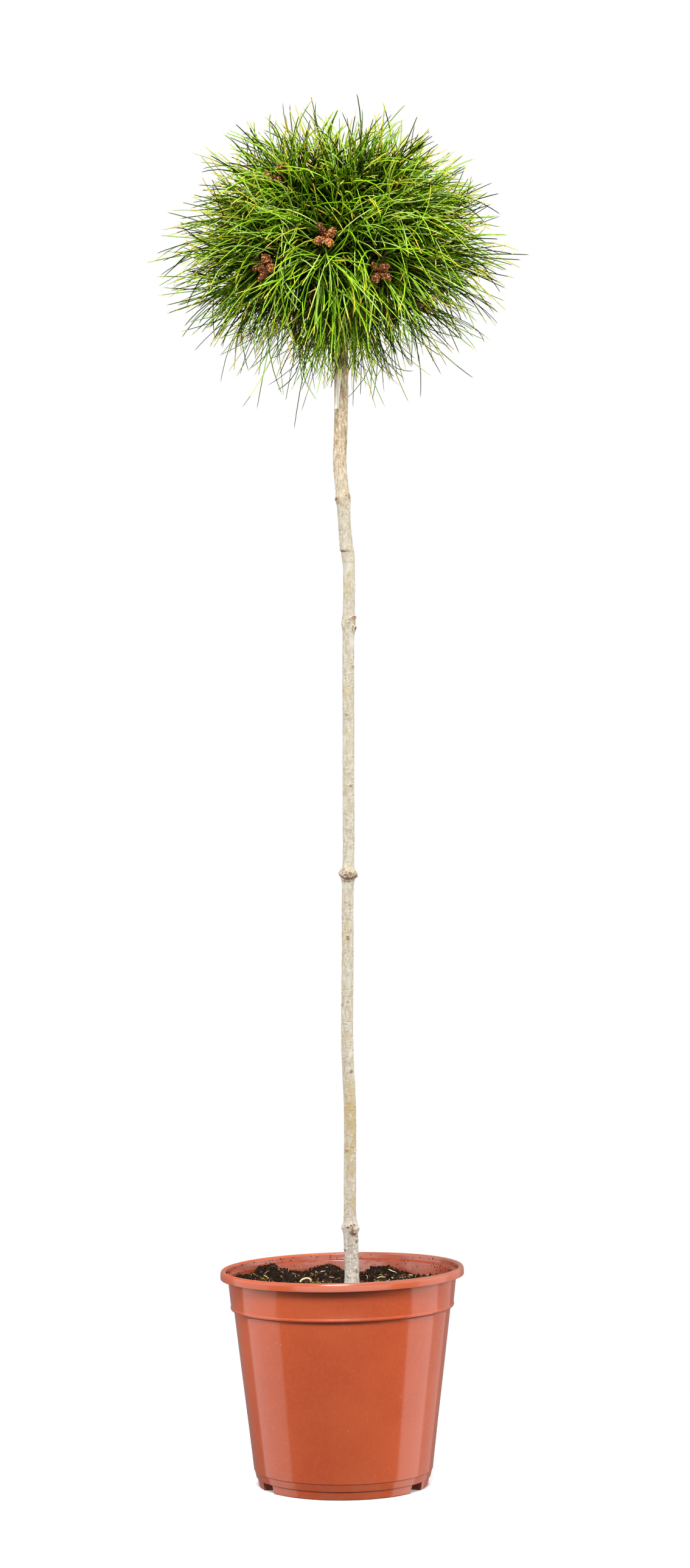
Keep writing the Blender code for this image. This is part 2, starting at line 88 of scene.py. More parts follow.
DRAIN_RADIUS = 0.006
DRAIN_CIRCLE = 0.062
FILLET_STEPS = 5
POT_SHARP = 32.0  # degrees at an edge that stays sharp

# Soil: its level, and mounds as place, height and spread
SOIL_LEVEL = 0.2070
SOIL_TOP_LIMIT = 0.2250
SOIL_FLAT = 0.028
SOIL_MOUNDS = (
    (-0.082, 0.080, 0.0160, 0.021), (-0.052, 0.084, 0.0080, 0.016),
    (-0.015, 0.098, 0.0125, 0.024), (0.045, 0.096, 0.0110, 0.022),
    (0.094, 0.040, 0.0070, 0.026), (-0.106, 0.040, 0.0110, 0.024),
    (-0.098, 0.005, 0.0065, 0.030), (0.040, -0.085, 0.0050, 0.030),
    (-0.050, -0.070, 0.0060, 0.026),
)
SOIL_AROUND = 300
SOIL_ACROSS = 88
SOIL_CLUMPS = ((105.0, 0.0024), (260.0, 0.0018), (620.0, 0.0010))  # noise scale and height
MOSS_PLACES = (  # place and spread
    (-0.083, 0.041, 0.0060), (-0.031, 0.050, 0.0050),
    (-0.018, 0.052, 0.0026), (0.040, 0.052, 0.0035),
)
MOSS_SLANT = 0.6  # radians that the strips of moss are turned
SPLASHES = 640  # crumbs that stick to the wall above the soil
SPLASH_HEIGHTS = (0.2130, 0.2285)
CRUMB_LOOKS = (  # name, colour, roughness, scale of its grain, spread and relief of that, gloss
    ("peat_crumb", (0.0150, 0.0088, 0.0055), 0.95, 900.0, 0.8, 0.0006, 0.08),
    ("peat_fibre_crumb", (0.066, 0.030, 0.014), 0.95, 900.0, 0.6, 0.0006, 0.08),
    ("bark_chip", (0.150, 0.060, 0.028), 0.85, 500.0, 0.5, 0.0005),
    ("pale_chip", (0.420, 0.270, 0.130), 0.85, 500.0, 0.35, 0.0004),
    ("moss_crumb", (0.300, 0.270, 0.035), 0.90, 900.0, 0.5, 0.0006),
    ("white_grain", (0.780, 0.770, 0.730), 0.80, 600.0, 0.12, 0.0004),
)
CRUMB_SIZES = (  # count, smallest and largest, flatness, and how far they stand out of the peat
    (5200, 0.0005, 0.0020, 0.80, 0.25), (2700, 0.0003, 0.0012, 0.70, 0.50),
    (330, 0.0006, 0.0022, 0.32, 0.5), (170, 0.0004, 0.0015, 0.30, 0.8),
    (520, 0.0003, 0.0009, 0.60, 0.9), (7, 0.0007, 0.0013, 0.70, 0.8),
)
BITS_EDGE = 0.110  # how far out loose bits lie
TRUNK_CLEARING = 0.0105  # and how near the middle of the trunk
FIBRES = 360
LOOP_PLACE = (-0.0396, 0.0540)  # the thick root that loops out of the peat
LOOP_HALF = 0.0060
LOOP_RISE = 0.0042
LOOP_BASE = 0.2095
LOOP_RADIUS = 0.0011
LOOP_BURIED = 0.35  # radians of its turn that stay in the peat at each end
STRAWS = (  # place, length and heading of the straws that show most
    (0.034, 0.066, 0.017, -4.0), (0.061, 0.062, 0.011, 8.0), (-0.086, 0.058, 0.010, -42.0),
    (0.050, 0.086, 0.015, -50.0), (-0.024, 0.082, 0.007, -20.0), (0.072, 0.078, 0.009, -25.0),
)

# Trunk: its bends along X, its radius and the bulge of its knots, each with its height first
TRUNK_SIDES = 52
TRUNK_STEP = 0.0008
TRUNK_TIP = 1.3200
TRUNK_BENDS = (
    (0.207, 0.0104), (0.225, 0.0104), (0.295, 0.0088), (0.390, 0.0097), (0.472, 0.0072),
    (0.600, 0.0085), (0.700, 0.0103), (0.860, 0.0110), (0.972, 0.0126), (1.040, 0.0074),
    (1.090, 0.0036), (1.155, 0.0056), (1.320, 0.0070),
)
TRUNK_THICKNESS = (
    (0.207, 0.0084), (0.222, 0.0077), (0.262, 0.0076), (0.292, 0.0065), (0.640, 0.0062),
    (0.960, 0.0062), (1.000, 0.0064), (1.060, 0.0071), (1.190, 0.0074), (1.262, 0.0066),
    (1.320, 0.0042),
)
TRUNK_KNOTS = ((0.274, 0.0020), (0.650, 0.0032), (0.918, 0.0012), (0.991, 0.0010), (1.051, 0.0020))
KNOT_HALF = 0.0065
FLARE = 0.0010  # of the foot, and its height
FLARE_HEIGHT = 0.006
KNOT_RING_SHARE = 0.5  # of a knot's bulge goes all the way round; the rest is in the lumps

# Lumps on the trunk: height, degrees from the front, spread, rise, depth of its scar, brownness
LUMPS = (
    (0.2735, -92.0, 0.0030, 0.0016, 0.0, 0.10),
    (0.2728, 86.0, 0.0030, 0.0016, 0.2, 0.20),
    (0.2752, 8.0, 0.0034, 0.0014, 0.9, 0.85),
    (0.2690, 34.0, 0.0024, 0.0013, 0.5, 1.00),
    (0.2602, 62.0, 0.0020, 0.0009, 0.6, 1.00),
    (0.2705, 14.0, 0.0022, 0.0003, 0.0, 1.00),
    (0.2672, 22.0, 0.0018, 0.0003, 0.0, 0.90),
    (0.2640, 70.0, 0.0020, 0.0002, 0.0, 1.00),
    (0.2500, -78.0, 0.0016, 0.0004, 0.0, 0.90),
    (0.2440, 76.0, 0.0016, 0.0004, 0.0, 0.80),
    (0.2380, -84.0, 0.0022, 0.0006, 0.0, 0.90),
    (0.2290, 40.0, 0.0020, 0.0007, 0.4, 0.70),
    (0.3560, -30.0, 0.0018, 0.0006, 0.4, 0.60),
    (0.4410, 24.0, 0.0019, 0.0007, 0.5, 0.80),
    (0.5120, -55.0, 0.0017, 0.0006, 0.3, 0.60),
    (0.5830, -4.0, 0.0021, 0.0010, 0.6, 0.95),
    (0.6525, -96.0, 0.0028, 0.0027, 0.0, 0.20),
    (0.6500, 92.0, 0.0030, 0.0024, 0.2, 0.30),
    (0.6505, 14.0, 0.0040, 0.0022, 1.0, 1.00),
    (0.6550, -38.0, 0.0026, 0.0016, 0.4, 0.35),
    (0.6462, 22.0, 0.0034, 0.0004, 0.0, 0.95),
    (0.6458, -14.0, 0.0032, 0.0004, 0.0, 0.90),
    (0.6476, -48.0, 0.0030, 0.0004, 0.0, 0.75),
    (0.6480, 66.0, 0.0024, 0.0003, 0.0, 0.80),
    (0.6480, -92.0, 0.0022, 0.0003, 0.0, 0.90),
    (0.6530, 56.0, 0.0024, 0.0014, 0.3, 0.35),
    (0.6490, 170.0, 0.0038, 0.0022, 0.9, 0.90),
    (0.7450, 30.0, 0.0018, 0.0007, 0.5, 0.75),
    (0.8210, -20.0, 0.0018, 0.0006, 0.5, 0.70),
    (0.8720, 60.0, 0.0019, 0.0006, 0.3, 0.60),
    (0.9185, -84.0, 0.0060, 0.0011, 0.0, 0.15),
    (0.9230, 44.0, 0.0052, 0.0015, 0.9, 0.75),
    (0.9120, 66.0, 0.0046, 0.0012, 1.0, 0.85),
    (0.9180, 150.0, 0.0050, 0.0010, 0.5, 0.50),
    (1.0500, -46.0, 0.0032, 0.0022, 0.7, 0.80),
    (1.0545, 42.0, 0.0025, 0.0017, 0.9, 0.95),
    (1.0510, 160.0, 0.0034, 0.0018, 0.8, 0.80),
    (1.1120, 60.0, 0.0024, 0.0010, 0.5, 0.60),
    (1.1895, 58.0, 0.0044, 0.0030, 1.0, 0.50),
)
SHELF_HEIGHT = 0.9945  # the graft's lower edge, a step on the left and front
SHELF_RISE = 0.0017
SHELF_MIDDLE = -62.0  # degrees from the front, and how far round it fades out, in radians
SHELF_SPREAD = 1.75
SHELF_TOP = 1.034
STRIP_FOOT = 1.1466
STRIP_HEAD = 1.1890
STRIP_ANGLES = (-44.0, -8.0)  # of its middle, at its foot and its head
STRIP_WIDTH = 0.0050
STRIP_TAPER = 0.32
STRIP_LAYERS = ((0.0009, 0.0004), (-0.0012, 0.0))  # rise over the stem, and how far its edges sink
SCAR_SIDES = 18
SCAR_PROFILE = (  # radius and rise, as shares of the scar's size
    (1.4, -0.22), (1.10, 0.10), (0.88, 0.16), (0.74, -0.06), (0.58, 0.02), (0.32, 0.12),
    (0.10, 0.08),
)
SCAR_SLOTS = (0, 0, 1, 2, 2, 2, 1)
SCAR_LEAST = 0.3  # lumps with a shallower scar get no crater
LENTICELS = 1150
LENTICEL_TOP = 1.15
# Of lenticels: half height, half width and rise
LENTICEL_SPANS = ((0.00055, 0.00095), (0.0008, 0.0024), (0.00016, 0.00042))
LENTICEL_ROUND = 0.0065  # radius at which widths on the bark are turned into angles
LUMP_ROUND = 0.0068
ROUGH_ABOVE = 1.03  # flaky bark sets in here, over so much height
ROUGH_OVER = 0.09
LOW_BELOW = 0.30  # and the foot's cracked bark here
LOW_OVER = 0.06
SWELL_RISE = 0.00026
GRAIN_RISES = (0.00013, 0.00020)  # on all bark, and what flaky bark adds
CRACK_DEPTHS = (0.00055, 0.00042)  # on flaky bark and at the foot
CRACK_BROWN = (0.55, 0.70)
CRACK_WIDTH = 0.16  # of the noise
CRACK_HEART = 0.05

# Crown: its middle, and the reach of its furthest needle tips sideways, up and down
CROWN_MIDDLE = Vector((0.0070, 0.0, 1.3110))
CROWN_POINT = np.array(CROWN_MIDDLE[:])
CROWN_SIDE = 0.183
CROWN_TOP = 0.175
CROWN_BELOW = 0.157
HEART = 0.0500
STEM_BACK = 0.0060

# Masses of needles: name, degrees round from +X, degrees up, reach as a share of the crown's
MASSES = (
    ("top", 0.0, 90.0, 1.00),
    ("upper_left", -151.0, 38.0, 1.06),
    ("upper_front", -79.0, 38.0, 1.00),
    ("upper_right", -7.0, 38.0, 0.95),
    ("upper_back_right", 65.0, 38.0, 1.00),
    ("upper_back_left", 137.0, 38.0, 1.03),
    ("lower_front_right", -65.0, -14.0, 1.00),
    ("lower_front_left", -125.0, -14.0, 1.02),
    ("lower_left", 175.0, -14.0, 1.08),
    ("lower_back_left", 115.0, -14.0, 1.00),
    ("lower_back_right", 55.0, -14.0, 1.00),
    ("lower_right", -5.0, -14.0, 1.04),
)
UPPER_BOUGH_HEIGHTS = (1.303, 1.312)
LOWER_BOUGH_HEIGHTS = (1.279, 1.291)
BOUGH_RADIUS = 0.0034
BOUGH_TIP_RADIUS = 0.0026
BOUGH_STRAIGHT = 0.0040

# Shoots and needles
SEED = 41
SHOOT_COUNT = 96
SHOOT_LOWEST = -60.0
SHOOT_TURN = 0.10
NEEDLE_REACH = 0.068
CORE_BACK = 0.003
SHOOT_RADIUS = 0.0024
LEANS = (6.0, 58.0)  # degrees between a needle and its shoot: at the shoot's tip, and furthest back
FACING_LEANS = (38.0, 84.0)  # the same on shoots that point to the front or the back
STAR_LEANS = (50.0, 96.0)
CARRIER_LEAN = 34.0  # at the tip of a shoot that carries a cluster, at least
LEAN_SPREAD = 9.0
ROUND_SPREAD = 0.35  # radians that needles stray round their shoot
GOLDEN_ANGLE = math.pi * (3.0 - math.sqrt(5.0))
SIDE_SHOOTS = 2
SIDE_NEEDLES_SHARE = 0.50
SHOOT_SEAT = (0.001, 0.042)  # where needles sit, back from a shoot's tip
SIDE_SEAT = (0.001, 0.026)
TIP_SHARES = (0.56, 1.00)  # how far out shoots end, of the furthest they may
TOP_SHARES = (0.40, 0.84)
NEEDLE_SHARES = np.array([0.0, 0.18, 0.36, 0.54, 0.72, 0.88, 0.96, 1.0])
CURLS = (0.28, 0.36, 0.46, 0.72)  # how far needles bend aside, each as often
NEEDLE_TAPER = np.array([0.75, 1.0, 1.0, 1.0, 1.0, 0.90, 0.72])
SHORTEST = 0.60  # a needle that would reach too far is shortened to this share at the most
STAR_WAY = (-97.7, -11.4)  # the shoot that opens like a star in front
HANGING = (  # tip, way and needles of the shoots that hang down in front of the stem and behind it
    ((-0.004, -0.030, 1.236), (-0.10, -0.25, -0.96), 72),
    ((0.016, -0.034, 1.233), (0.10, -0.22, -0.97), 62),
    ((-0.024, -0.028, 1.228), (-0.20, -0.20, -0.96), 70),
    ((0.032, -0.026, 1.238), (0.24, -0.20, -0.95), 46),
    ((-0.040, -0.030, 1.228), (-0.25, -0.20, -0.93), 50),
    ((-0.012, -0.045, 1.230), (-0.08, -0.35, -0.93), 60),
    ((0.006, 0.034, 1.246), (0.02, 0.34, -0.94), 60),
    ((-0.020, 0.030, 1.240), (-0.24, 0.28, -0.93), 50),
    ((0.032, 0.030, 1.240), (0.26, 0.28, -0.93), 50),
    ((0.010, 0.060, 1.252), (0.04, 0.62, -0.78), 56),
)
TRAILING = (  # tip and needles of the thin sprays that trail down over the head of the stem
    ((-0.010, -0.022, 1.262), 46),
    ((0.004, -0.024, 1.256), 46),
    ((0.016, -0.020, 1.260), 34),
    ((-0.003, -0.030, 1.248), 34),
)
TRAILING_WAY = (-0.03, -0.06, -1.0)
TRAILING_LEANS = (13.0, 1.0)  # degrees, of the last and the first needle
INNER = (  # degrees round, degrees up and share of the way out of shoots that fill the top
    (20.0, 80.0, 0.50), (140.0, 74.0, 0.55), (255.0, 76.0, 0.52),
    (200.0, 58.0, 0.60), (325.0, 60.0, 0.60), (85.0, 56.0, 0.60), (275.0, 84.0, 0.30),
)
HANGING_FOLLOW = 0.25  # how far the start of a hanging shoot follows its tip to the side
HANGING_OFF = 0.012  # how far before or behind the stem it starts, and how far above its tip
HANGING_RISE = 0.040
INNER_START = 0.1
INNER_MORE = 8  # needles that inner shoots have more
STAR_CLEAR = 0.030  # round the star's middle other needles are thinned to a share
STAR_KEEP = 0.17
STAR_REACH = 0.86
STAR_NEEDLES = 2.9
STAR_LENGTH = 1.15
STAR_DROOP = 1.3

# How many needles there are and where they end, by where their shoot points
FACING_FROM = 0.45  # it faces the front or back from this part of its way on, over so much more
FACING_OVER = 0.45
BELOW_FROM = 0.02
BELOW_OVER = 0.46
ABOVE_FROM = 0.30
ABOVE_OVER = 0.60
FEWER_BELOW = 0.77
FEWER_ABOVE = 0.34
MORE_FACING = 0.25
LENGTHS = (0.82, 1.12)
TRAILING_LENGTHS = (0.50, 1.10)
DROOPS = (0.10, 0.65)
CURL_BELOW = 0.10
OUTWARD = 0.15
FURTHEST = 1.075  # where needles end at most, as a share of the reach, and what changes it
NEARER_FACING = 0.02
FURTHER_BELOW = 0.05
NEARER_FOOT = 0.14
NEARER_TOP = 0.02
UNEVEN = 0.19
UNEVEN_UPRIGHT = 0.16

# How thick and how dark they are
THICKNESSES = (0.82, 1.15)
STAR_THIN = 0.88
TRAILING_THIN = 0.72
THINNER_SIDE = 0.12
THINNER_BELOW = 0.16
# Painted light: trailing sprays hang in front and are dealt the lightest tones.
TRAILING_FACING = 1.6  # trailing sprays are lighter than any that face out
# Painted shade: sprays that point down are dealt darker tones.
DARKER_BELOW = 0.45
# Painted shade: needle steps deep in the crown take the shade colour, and a little further out the
# deep green.
SHADE_SHARES = (0.46, 0.70)  # needles are dark further in than this share of the reach
DEEP_SHARES = (0.50, 0.77)  # and deep green further in than this
TRUNK_CLEAR = 0.0014
FRINGE_REACH = 0.20  # how much further the few longest needles hang below the crown
FRINGE_TOP = 1.240  # below this the free ends past the reach are deep green
FRINGE_SHARE = 0.14
FRINGE_FROM = 0.95  # only on shoots that point this much down
FRINGE_LENGTH = 0.45

# Clusters of brown buds: degrees round from +X and degrees up
BUD_CLUSTERS = (
    (-97.5, -1.0), (-133.6, -12.5), (-68.4, -18.5), (-131.0, 35.0), (20.0, 22.0), (84.0, -4.0),
    (150.0, 30.0),
)
CLUSTER_CLEAR = 0.0152  # needles this near the line of sight are thinned
CLUSTER_KEEP = 0.05
SEEN_FROM = (1.0, 4.0, 1.0)  # the line of sight leans this much more to the front or the back
PLACE_LIFT = 0.004
DARK_BUD = (0.018, 0.0026, 0.0010, (2, 2, 0))  # length, radius, size of scales and their colours
BUD = ((0.012, 0.017), 0.0037, 0.0011, (0, 0, 1, 1, 2))  # the same of the other buds
BUDS = 4

# Needle colours: share of the needles, and how far each departs from the chosen green
NEEDLE_TONES = (
    ("needle_deep", 0.29, (0.32, 0.32, 0.19)),
    # The next tone is a painted shade: near-black needles, dealt mostly to sprays at the crown's
    # sides.
    ("needle_side_shade", 0.10, (0.06, 0.065, 0.05)),
    ("needle_mid", 0.25, (1.00, 1.05, 0.70)),
    ("needle_fresh", 0.20, (1.75, 1.60, 1.50)),
    # The light tone is partly the paler needles' own green, partly a painted highlight, greyer than
    # the needles' green.
    ("needle_light", 0.12, (2.60, 1.95, 11.0)),
    ("needle_olive", 0.06, (2.40, 1.30, 2.20)),
)
# Colour of the painted shade on needle steps deep in the crown.
NEEDLE_SHADE = (0.040, 0.045, 0.03)
NEEDLE_GLOSS = (0.05, 0.03, 0.06, 0.11, 0.20, 0.10)  # how strongly each reflects
# Sprays to the side get mostly dark tones, a painted shade at the crown's edge. Sprays that face
# the front or back get mostly light tones, a painted light.
SIDE_WEIGHTS = (2.30, 4.60, 1.20, 0.40, 0.12, 2.30)  # of the shares, on sprays to the side
FACING_WEIGHTS = (0.32, 0.45, 1.10, 1.80, 2.20, 0.50)  # and on sprays that face out
TONE_SPREAD = (0.45, 1.6)  # and from spray to spray
DEEP_SLOT = 0
OLIVE_SLOT = len(NEEDLE_TONES) - 1
TIP_SLOT = len(NEEDLE_TONES)
SHADE_SLOT = TIP_SLOT + 1
TURNED_TIPS = ((1, 0.55), (2, 0.24), (3, 0.04))  # steps at the end, and the share turned there
FEWER_TURNED = 0.75  # on sprays that face out

# Camera: the picture's height and its level line in pixels, and the place and lens that match it
PICTURE_HEIGHT = 2576
LEVEL_ROW = 1380
CAMERA_PLACE = (0.0063, -3.5, 0.687)
CAMERA_LENS = 75.25
CAMERA_ROLL = 0.4

# Studio
FLOOR_RADIUS = 3.0
FLOOR_FADE = (0.20, 0.80)  # distances from the middle where the floor starts to fade and is gone
SKY = {"From Min": -0.10, "From Max": 0.25, "To Min": 0.05, "To Max": 0.26}  # height to strength
MIRRORED_SKY = 0.28
LAMPS = (  # name, place, aim, width, height, power; whether it lights, and whether it is mirrored
    ("left_panel", (-1.50, 0.16, -0.05), (0.0, 0.16, -0.05), 1.40, 2.1, 10.5, True, True),
    ("right_panel", (1.50, 0.10, -0.05), (0.0, 0.10, -0.05), 1.05, 2.1, 11.5, True, True),
    ("right_back_panel", (1.50, 1.41, -0.05), (0.0, 1.41, -0.05), 1.57, 2.1, 5.0, True, True),
    ("low_panel", (0.0, -1.60, 0.25), (0.0, 0.0, 0.25), 3.20, 1.0, 27.0, False, True),
    ("left_fill", (-2.4, -0.9, 1.2), (0.0, 0.0, 0.7), 1.0, 1.6, 56.0, True, False),
    ("right_fill", (2.2, -1.1, 1.2), (0.0, 0.0, 0.7), 1.0, 1.6, 68.0, True, False),
    ("key_panel", (-0.5, -4.0, 4.2), (0.0, 0.0, 0.7), 1.8, 1.8, 385.0, True, True),
    ("back_panel", (0.6, 4.2, 3.8), (0.0, 0.0, 0.7), 2.4, 2.4, 210.0, True, False),
    ("top_panel", (0.2, -0.4, 3.0), (0.0, 0.0, 1.2), 1.2, 1.2, 22.0, True, True),
)


# Settings that a user would change


class PottedPineSettings(bpy.types.PropertyGroup):
    pot_colour: bpy.props.FloatVectorProperty(
        name="Pot", description="Colour of the pot's plastic", subtype="COLOR",
        size=3, min=0.0, max=1.0, default=(0.405, 0.068, 0.021),
    )
    peat_colour: bpy.props.FloatVectorProperty(
        name="Peat", description="Colour of the moist peat", subtype="COLOR",
        size=3, min=0.0, max=1.0, default=(0.020, 0.0125, 0.0085),
    )
    bark_colour: bpy.props.FloatVectorProperty(
        name="Bark", description="Colour of the stem's smooth bark", subtype="COLOR",
        size=3, min=0.0, max=1.0, default=(0.465, 0.422, 0.342),
    )
    needle_colour: bpy.props.FloatVectorProperty(
        name="Needles", description="Middle green of the needles", subtype="COLOR",
        size=3, min=0.0, max=1.0, default=(0.168, 0.330, 0.012),
    )
    tip_colour: bpy.props.FloatVectorProperty(
        name="Needle tips", description="Colour of the turned needle tips", subtype="COLOR",
        size=3, min=0.0, max=1.0, default=(0.660, 0.500, 0.046),
    )
    needle_length: bpy.props.FloatProperty(
        name="Needle length", description="Length of a usual needle", subtype="DISTANCE",
        unit="LENGTH", min=0.04, max=0.14, default=0.098,
    )
    needle_radius: bpy.props.FloatProperty(
        name="Needle radius", description="Radius of a needle at its thickest", subtype="DISTANCE",
        unit="LENGTH", min=0.0003, max=0.0015, default=0.00071,
    )
    needles_per_shoot: bpy.props.IntProperty(
        name="Needles a shoot", description="Needles on each main shoot", min=6, max=90, default=36,
    )
    light_strength: bpy.props.FloatProperty(
        name="Lights", description="Strength of the studio's lamps, as a share of the usual",
        subtype="FACTOR", min=0.0, max=4.0, soft_max=2.0, default=1.0,
    )
    floor_colour: bpy.props.FloatVectorProperty(
        name="Floor", description="Colour of the studio's floor", subtype="COLOR",
        size=3, min=0.0, max=1.0, default=(0.86, 0.86, 0.86),
    )


def settings():
    return bpy.context.scene.potted_pine


# Shader maths


class Signal:
    """A socket that carries a value. Arithmetic on it adds Math nodes to its tree."""

    def __init__(self, nodes, socket):
        self.nodes = nodes
        self.socket = socket

    def maths(self, operation, *values):
        return self.nodes.add("ShaderNodeMath", {"operation": operation}, values)

    def __add__(self, other):
        return self.maths("ADD", self, other)

    def __radd__(self, other):
        return self.maths("ADD", other, self)

    def __sub__(self, other):
        return self.maths("SUBTRACT", self, other)

    def __rsub__(self, other):
        return self.maths("SUBTRACT", other, self)

    def __mul__(self, other):
        return self.maths("MULTIPLY", self, other)

    def __rmul__(self, other):
        return self.maths("MULTIPLY", other, self)

    def __abs__(self):
        return self.maths("ABSOLUTE", self)

    def between(self, low, high):
        """0 below low, 1 above high, and a smooth step in between."""
        inputs = {"Value": self, "From Min": low, "From Max": high}
        return self.nodes.add("ShaderNodeMapRange", {"interpolation_type": "SMOOTHSTEP"}, inputs)


class Nodes:
    """A node tree, with the one method that adds nodes to it."""

    def __init__(self, tree):
        self.tree = tree

    def add(self, kind, options=None, inputs=(), output=0):
        """Adds a node: its options first, then the values or links of its sockets."""
        node = self.tree.nodes.new(kind)
        for option, value in (options or {}).items():
            setattr(node, option, value)
        pairs = inputs.items() if isinstance(inputs, dict) else enumerate(inputs)
        for socket, value in pairs:
            if isinstance(value, Signal):
                self.tree.links.new(value.socket, node.inputs[socket])
            else:
                node.inputs[socket].default_value = value
        return Signal(self, node.outputs[output]) if len(node.outputs) else None


class Finish(Nodes):
    """A material and its nodes."""

    def __init__(self, name, roughness=0.5, specular=0.5, colour=(0.5, 0.5, 0.5)):
        self.material = bpy.data.materials.new(name)
        self.material.use_nodes = True
        super().__init__(self.material.node_tree)
        self.shader = self.tree.nodes["Principled BSDF"]
        self.shader.inputs["Base Color"].default_value = (*colour, 1.0)
        self.shader.inputs["Roughness"].default_value = roughness
        self.shader.inputs["Specular IOR Level"].default_value = specular
        self.place = self.add("ShaderNodeTexCoord", output="Object")

    def feed(self, socket, signal):
        self.tree.links.new(signal.socket, self.shader.inputs[socket])

    def stretched(self, stretch, lift=0.0):
        """The place on the object, or the same with its height scaled and then moved up."""
        if stretch is None:
            return self.place
        values = [self.place, (1.0, 1.0, stretch), (0.0, 0.0, lift)]
        return self.add("ShaderNodeVectorMath", {"operation": "MULTIPLY_ADD"}, values)

    def noise(self, scale, detail=3.0, rough=0.55, stretch=None):
        inputs = {"Scale": scale, "Detail": detail, "Roughness": rough}
        inputs["Vector"] = self.stretched(stretch)
        return self.add("ShaderNodeTexNoise", {}, inputs, "Fac")

    def cells(self, scale, stretch=None, lift=0.0):
        inputs = {"Vector": self.stretched(stretch, lift), "Scale": scale}
        return self.add("ShaderNodeTexVoronoi", {}, inputs, "Distance")

    def height(self):
        return self.add("ShaderNodeSeparateXYZ", {}, [self.place], "Z")

    def mix(self, share, first, second):
        """From the first colour to the second."""
        first, second = (
            colour if isinstance(colour, Signal) else (*colour, 1.0) for colour in (first, second)
        )
        inputs = {0: share, 6: first, 7: second}
        return self.add("ShaderNodeMix", {"data_type": "RGBA"}, inputs, 2)

    def bump(self, height, distance, strength=1.0, under=None):
        inputs = {"Strength": strength, "Distance": distance, "Height": height}
        if under is not None:
            inputs["Normal"] = under
        return self.add("ShaderNodeBump", {}, inputs, "Normal")


def tinted(colour, factors):
    return tuple(min(channel * factor, 1.0) for channel, factor in zip(colour, factors))


# Meshes


class Shape:
    """Gathers points and faces, with a material slot for each face, into one mesh."""

    def __init__(self):
        self.points = []
        self.faces = []
        self.slots = []
        self.count = 0

    def add(self, points, faces, slots=0):
        """Points, and faces as rows of point numbers; slots is a number or one for each face."""
        faces = np.asarray(faces)
        self.points.append(np.asarray(points, float).reshape(-1, 3))
        self.faces.append(faces + self.count)
        self.slots.append(np.broadcast_to(slots, len(faces)))
        self.count += len(self.points[-1])

    def more_faces(self, faces, slots=0):
        """Faces on the points that were added last."""
        faces = np.asarray(faces)
        self.faces.append(faces + self.count - len(self.points[-1]))
        self.slots.append(np.broadcast_to(slots, len(faces)))

    def mesh(self, name, looks, smooth=True):
        points = np.concatenate(self.points).astype(np.float32)
        corners = np.concatenate([rows.ravel() for rows in self.faces]).astype(np.int32)
        sizes = np.concatenate([np.full(len(rows), rows.shape[1]) for rows in self.faces])
        starts = np.concatenate(([0], np.cumsum(sizes)[:-1])).astype(np.int32)
        made = bpy.data.meshes.new(name)
        made.vertices.add(len(points))
        made.vertices.foreach_set("co", points.ravel())
        made.loops.add(len(corners))
        made.loops.foreach_set("vertex_index", corners)
        made.polygons.add(len(sizes))
        made.polygons.foreach_set("loop_start", starts)
        for look in looks:
            made.materials.append(look.material)
        made.polygons.foreach_set("material_index", np.concatenate(self.slots).astype(np.int32))
        made.update(calc_edges=True)
        made.validate()
        if smooth:
            made.shade_smooth()
        return made


def in_scene(name, data):
    """A new object in the scene."""
    made = bpy.data.objects.new(name, data)
    bpy.context.scene.collection.objects.link(made)
    return made


def new_piece(name, mesh, replaced=()):
    """Puts a mesh in the scene, riding on the plant's one body."""
    made = in_scene(name, mesh)
    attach(made, BODY)
    if replaced:
        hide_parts(*replaced)
    return made


def unit(vectors):
    return vectors / np.maximum(np.linalg.norm(vectors, axis=-1, keepdims=True), 1e-12)


def all_round(count):
    """Angles evenly round a circle."""
    return np.arange(count) * math.tau / count


def across_way(way, around):
    """Directions square to a way, at angles round it."""
    side = np.array(Vector(way).orthogonal().normalized()[:])
    up = np.cross(way, side)
    return np.cos(around)[:, None] * side + np.sin(around)[:, None] * up


def ring_quads(rings, sides):
    """Faces between rings of points that lie one after another."""
    ring, side = np.meshgrid(np.arange(rings - 1), np.arange(sides), indexing="ij")
    after = (side + 1) % sides
    low, high = ring * sides, (ring + 1) * sides
    return np.stack([low + side, low + after, high + after, high + side], axis=-1).reshape(-1, 4)


def add_closed_tube(shape, points, sides, inward=False):
    """A tube of rings of points, whose last two points close its start and its end."""
    rings = (len(points) - 2) // sides
    side = np.arange(sides)
    after = (side + 1) % sides
    last = (rings - 1) * sides
    quads = ring_quads(rings, sides)
    shape.add(points, quads[:, ::-1] if inward else quads)
    for point, first, second in ((2, after, side), (1, last + side, last + after)):
        ends = (second, first) if inward else (first, second)
        shape.more_faces(np.stack([np.full(sides, len(points) - point), *ends], axis=1))


def tube_rings(paths, radii, sides, aside):
    """Points round many paths: paths (n, k, 3), radii (n, k), aside (n, 3) any way aside."""
    along = unit(np.gradient(paths, axis=1))
    side = aside[:, None, :] - along * np.sum(aside[:, None, :] * along, axis=2, keepdims=True)
    side = unit(side)
    up = np.cross(along, side)
    angles = all_round(sides)
    circle = (
        side[:, :, None, :] * np.cos(angles)[None, None, :, None]
        + up[:, :, None, :] * np.sin(angles)[None, None, :, None]
    )
    return paths[:, :, None, :] + circle * radii[:, :, None, None]


